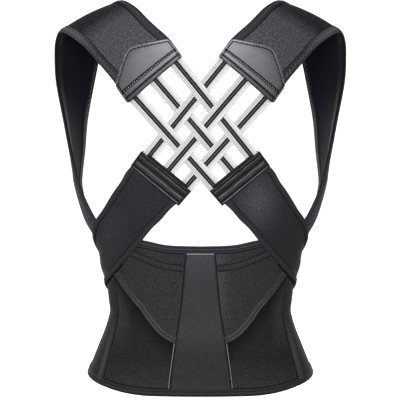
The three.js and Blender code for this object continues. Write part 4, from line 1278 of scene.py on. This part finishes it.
def add_cross_straps(m):
    """The cross straps: smooth elastic, bound edges, ribbed caps, hook tabs and backing strips."""
    form, thick, tape = m.form, m.form.cross_thickness, 0.8
    cross, upper_end = form.cross_strap(), form.cross_strap(0.0)
    length, half = form.cross_length, form.cross_width / 2
    start, run = form.cross_start()
    level = form.on_belt + 0.4 - form.on_tab

    def under_cap(s, v, h):
        wide = v * half
        z = start[1] + run[1] * s + wide * run[0]
        reach = start[0] + run[0] * s - wide * run[1]
        return form.on_body(form.walk(0 * z, reach, z, form.on_belt - 0.4, 24), z, h)

    for word in m.sides():
        outline = cross.inset(0.7, *strip(-1, 1, 0, thick, half, 44))
        cloth = m.sweep(f"cross_{word}", cross.at, (1, length - 1, 150), outline, "elastic_cloth",
                        "strap_cloth", [f"cross_strap_{word}"], half=half)
        trims = []
        for name, edge in (("upper", 1), ("lower", -1)):
            place, key = cross.by_edge(edge), f"{word}_{name}"
            line = sewn(place, 22, length - 3, 2.4, 1.7, 5.6, h=thick + tape)
            trims += [
                m.sweep(f"cross_tape_{key}", place, (14.5, length - 1.2, 150), fold(7.0, thick, tape),
                        "elastic_tape", "binding_tape", [f"cross_binding_{key}"]),
                m.stitches(f"cross_stitches_{key}", line, 0.3, look="dark_thread"),
                m.seam(f"cross_edge_seam_{key}", place, (20, length - 3, 120), 7.4, 1.2, thick + 0.1),
            ]
        # Dark strip just past the lower edge, over the belt: painted shadow of the cross strap
        stations = (0.36 * length, 0.66 * length, 60)
        trims.append(m.seam(f"cross_shadow_{word}", place, stations, -0.9, 2.8, -0.2))
        add_cap(m, upper_end, word)
        tab = m.sweep(f"tab_{word}", cross.at, (length - 45, length - 1, 24),
                      strip(-0.9, 0.9, level, level + 1.2, half, 30), "hook_loops", "hook_tape",
                      [f"strap_hook_tab_{word}"], round_ends=0.6, half=half)
        backing = m.sweep(f"backing_bottom_{word}", under_cap, (-3.2, 10.4, 14),
                          strip(-1.02, 1.085, form.on_belt - 1.4, form.on_belt - 0.4, half, 24), "hook_loops",
                          "hook_tape", [f"band_backing_bottom_{word}"], round_ends=0, half=half)


def add_cap(m, cross, word):
    """The ribbed cap at the upper end of a cross strap, and the strip that holds the bands' ends down."""
    form, half = m.form, m.form.cross_width / 2
    low, before, reach = 2.6, 1.2, form.cap_length * 0.9

    def outline(s):
        v = np.concatenate([
            np.linspace(-1.03, -0.9, 12)[:-1], np.linspace(-0.9, 0.98, 50), np.linspace(0.98, 1.11, 12)[1:]])
        from_end = s + before
        t = from_end * 20 / form.cap_length
        wobble = 0.15 * np.sin(v * 9 + t) + 0.1 * np.sin(v * 23 + 2 * t)
        gap = np.minimum(v + 1.03, 1.11 - v) * form.cross_width / 2
        ribs = sum(tall * bump(t + wobble * 0.6, at, wide) for at, wide, tall in CAP_RIBS)
        ribs = ribs * ramp(gap, 2.0, 3.2) + 0.75 * bump(gap, 0.9, 0.7)
        ends = rounded(np.minimum(from_end, reach - from_end), 1.0)
        top = low + 0.02 + (0.75 + ribs * 1.05) * rounded(gap, 1.6) * ends
        return np.concatenate([v + 0 * s, v[::-1] + 0 * s], -1), np.concatenate([top, 0 * top + low], -1)

    def across(t, d, h):
        return cross.at(d, t / half, h)

    stations = np.linspace(-before, reach - before, 90)
    # Rib heights kept on the points, by which cap_hide paints shade in the folds and light on the ribs
    tall = np.clip((outline(stations[:, None])[1] - low - 0.75) / 1.1, 0, 1.2) / MM
    cap = m.sweep(f"cap_{word}", cross.at, stations, outline, "cap_hide", "cap_leather",
                  [f"cross_strap_cap_{word}"], round_ends=0, half=half, values={"tall": tall})
    line = sewn(across, -half + 2, half - 1, 2.2, 1.9, 15.1, h=low + 1.8)
    bars = sewn(across, -0.85 * half, 0.84 * half, 2.6, 1.2, -2.1, h=1.2)
    m.stitches(f"cap_stitches_{word}", line, 0.42, 0.2, "pale_thread", "cap_leather")
    m.sweep(f"cap_strip_{word}", cross.at, (-2.9, -0.8, 6), strip(-0.87, 0.855, 0.3, 1.2, half, 30),
                "low_tape", "cap_leather", round_ends=0.3, half=half)
    m.stitches(f"cap_strip_stitches_{word}", bars, 0.6, 0.2, "dark_thread", "cap_leather")


def add_lattice(m):
    """The six bands that weave over and under one another."""
    form = m.form
    across, up, slant, _ = STRAP_BACK[0]
    patch = np.array([across * form.shoulder_reach, up * form.shoulder_height])
    slant = math.radians(slant)
    start, run = form.cross_start()
    under_patch, under_cap, weave, half = 6.5, 9, 1.12, form.band_width / 2
    outline = strip(-half, half, 0, form.band_thickness, across=16)

    def ends(side, step):
        """Upper and lower end of a band at x and z, and its direction."""
        top = np.array([
            -side * (patch[0] - step * form.band_pitch_top * math.cos(slant)),
            patch[1] - step * form.band_pitch_top * math.sin(slant)])
        bottom = np.array([
            side * (start[0] - step * form.band_pitch_bottom * run[1]),
            start[1] + step * form.band_pitch_bottom * run[0]])
        way = unit(bottom - top)
        return top - way * under_patch, bottom + way * under_cap, way

    def meeting(p, q):
        """Share of the first band's length where the second crosses it."""
        d, e, f = p[1] - p[0], q[1] - q[0], q[0] - p[0]
        return (f[0] * e[1] - f[1] * e[0]) / (d[0] * e[1] - d[1] * e[0])

    for family, side in (("down", 1), ("up", -1)):
        for number, step in enumerate((1, 0, -1), 1):
            top, bottom, way = line = ends(side, step)
            length = float(np.linalg.norm(bottom - top))
            crossings = [
                (meeting(line, ends(-side, other)) * length, side if (step + other) % 2 == 0 else -side)
                for other in (-1, 0, 1)
            ]
            pitch = abs(crossings[2][0] - crossings[0][0]) / 2

            def place(s, c, h):
                x, z = top[0] + way[0] * s - way[1] * c, top[1] + way[1] * s + way[0] * c
                lift = sum(o * weave * ramp(1 - np.abs(s - at) / pitch, 0.15, 0.72) for at, o in crossings)
                out = form.on_belt + lift + h
                return form.on_body(form.angle_at_x(x, z, out), z, out)

            band = m.sweep(f"band_{family}_{number}", place, (0, length, 110), outline, "woven_band",
                           "band_elastic", [f"lattice_band_{family}_{number}"], round_ends=0.4)


class BuildBelt(bpy.types.Operator):
    """Build the waist belt with its hems, panels, seams and closure"""

    bl_idname = "corrector.belt"
    bl_label = "Waist belt"

    def execute(self, context):
        add_belt(Maker(context))
        return {"FINISHED"}


class BuildShoulderStraps(bpy.types.Operator):
    """Build the shoulder straps with their edge tapes and patches"""

    bl_idname = "corrector.shoulder_straps"
    bl_label = "Shoulder straps"

    def execute(self, context):
        add_shoulder_straps(Maker(context))
        return {"FINISHED"}


class BuildCrossStraps(bpy.types.Operator):
    """Build the cross straps with their edge tapes, caps and hook tabs"""

    bl_idname = "corrector.cross_straps"
    bl_label = "Cross straps"

    def execute(self, context):
        add_cross_straps(Maker(context))
        return {"FINISHED"}


class BuildLattice(bpy.types.Operator):
    """Build the woven lattice of elastic bands"""

    bl_idname = "corrector.lattice"
    bl_label = "Lattice"

    def execute(self, context):
        add_lattice(Maker(context))
        return {"FINISHED"}


class BuildStudio(bpy.types.Operator):
    """Build the floor, the soft lights and the camera"""

    bl_idname = "corrector.studio"
    bl_label = "Studio"

    def execute(self, context):
        studio, scene = context.scene.corrector_studio, context.scene
        self.add_floor(context, studio.backdrop)
        aim = Vector((0, 0, 0.12))
        for name, power, share, place in LIGHTS:
            bpy.ops.object.light_add(type="AREA", location=place)
            light = context.object
            light.name = f"studio_{name}"
            light.data.energy = getattr(studio, power) * share
            light.data.shape = "DISK"
            light.data.size = 1.0
            light.visible_camera = False
            light.rotation_euler = (aim - Vector(place)).to_track_quat("-Z", "Y").to_euler()
        scene.world = bpy.data.worlds.new("studio_air")
        scene.world.use_nodes = True
        air = scene.world.node_tree.nodes["Background"].inputs
        air["Color"].default_value = (1, 1, 1, 1)
        air["Strength"].default_value = studio.backdrop * 0.2
        spot = (-0.0005, -studio.distance, studio.height)
        bpy.ops.object.camera_add(location=spot, rotation=(math.pi / 2, 0, 0))
        scene.camera = context.object
        scene.camera.name = "studio_camera"
        scene.camera.data.lens = studio.lens
        scene.camera.data.sensor_width = 36
        scene.view_settings.view_transform = "Standard"
        return {"FINISHED"}

    def add_floor(self, context, strength):
        """The paper floor with walls up from it on a wide curve."""
        size, level, tall, curve = 8, -0.16, 4, 1.5
        bpy.ops.object.select_all(action="DESELECT")
        bpy.ops.mesh.primitive_plane_add(size=size, location=(0, 0, level))
        floor = context.object
        floor.name = "studio_floor"
        self.edit_edges(floor)
        bpy.ops.mesh.extrude_region_move(TRANSFORM_OT_translate={"value": (0, 0, tall)})
        self.edit_edges(floor)
        bpy.ops.mesh.bevel(offset=curve, segments=16)
        bpy.ops.mesh.select_all(action="SELECT")
        bpy.ops.mesh.normals_make_consistent(inside=True)
        bpy.ops.object.mode_set(mode="OBJECT")
        bpy.ops.object.shade_smooth_by_angle(angle=math.radians(40))
        bpy.ops.object.transform_apply(location=True, rotation=True, scale=True)
        paper = Graph("studio_paper")
        paper.inputs["Emission Strength"].default_value = strength
        paper.inputs["Emission Color"].default_value = (1, 1, 1, 1)
        floor.data.materials.append(paper.finish((0.9, 0.9, 0.9), 0.9, 0.0))
        floor.visible_diffuse = False
        floor.visible_glossy = False

    @staticmethod
    def edit_edges(floor):
        """Edit the floor with the edges of its lowest face selected."""
        bpy.ops.object.mode_set(mode="EDIT")
        bpy.ops.mesh.select_mode(type="EDGE")
        bpy.ops.mesh.select_all(action="DESELECT")
        bpy.ops.object.mode_set(mode="OBJECT")
        for edge in floor.data.edges:
            edge.select = all(abs(floor.data.vertices[i].co.z) < 0.01 for i in edge.vertices)
        bpy.ops.object.mode_set(mode="EDIT")


class CorrectorPanel(bpy.types.Panel):
    """Sizes, colours and build steps of the corrector"""

    bl_idname = "VIEW3D_PT_corrector"
    bl_label = "Posture corrector"
    bl_space_type = "VIEW_3D"
    bl_region_type = "UI"
    bl_category = "Corrector"

    def draw(self, context):
        scene, layout = context.scene, self.layout
        groups = (scene.corrector_sizes, scene.corrector_colours, scene.corrector_studio)
        for group, label in zip(groups, ("Sizes", "Colours", "Studio")):
            box = layout.box()
            box.label(text=label)
            for name in group.__annotations__:
                box.prop(group, name)
        for operator in OPERATORS:
            layout.operator(operator.bl_idname)


OPERATORS = (BuildBelt, BuildShoulderStraps, BuildCrossStraps, BuildLattice, BuildStudio)
CLASSES = (Sizes, Colours, Studio, *OPERATORS, CorrectorPanel)


def register():
    for cls in CLASSES:
        bpy.utils.register_class(cls)
    bpy.types.Scene.corrector_sizes = PointerProperty(type=Sizes)
    bpy.types.Scene.corrector_colours = PointerProperty(type=Colours)
    bpy.types.Scene.corrector_studio = PointerProperty(type=Studio)


def unregister():
    del bpy.types.Scene.corrector_sizes
    del bpy.types.Scene.corrector_colours
    del bpy.types.Scene.corrector_studio
    for cls in reversed(CLASSES):
        bpy.utils.unregister_class(cls)


def main():
    """Register the add-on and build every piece."""
    register()
    bpy.ops.corrector.belt()
    bpy.ops.corrector.shoulder_straps()
    bpy.ops.corrector.cross_straps()
    bpy.ops.corrector.lattice()
    bpy.ops.corrector.studio()


if __name__ == "__main__":
    main()
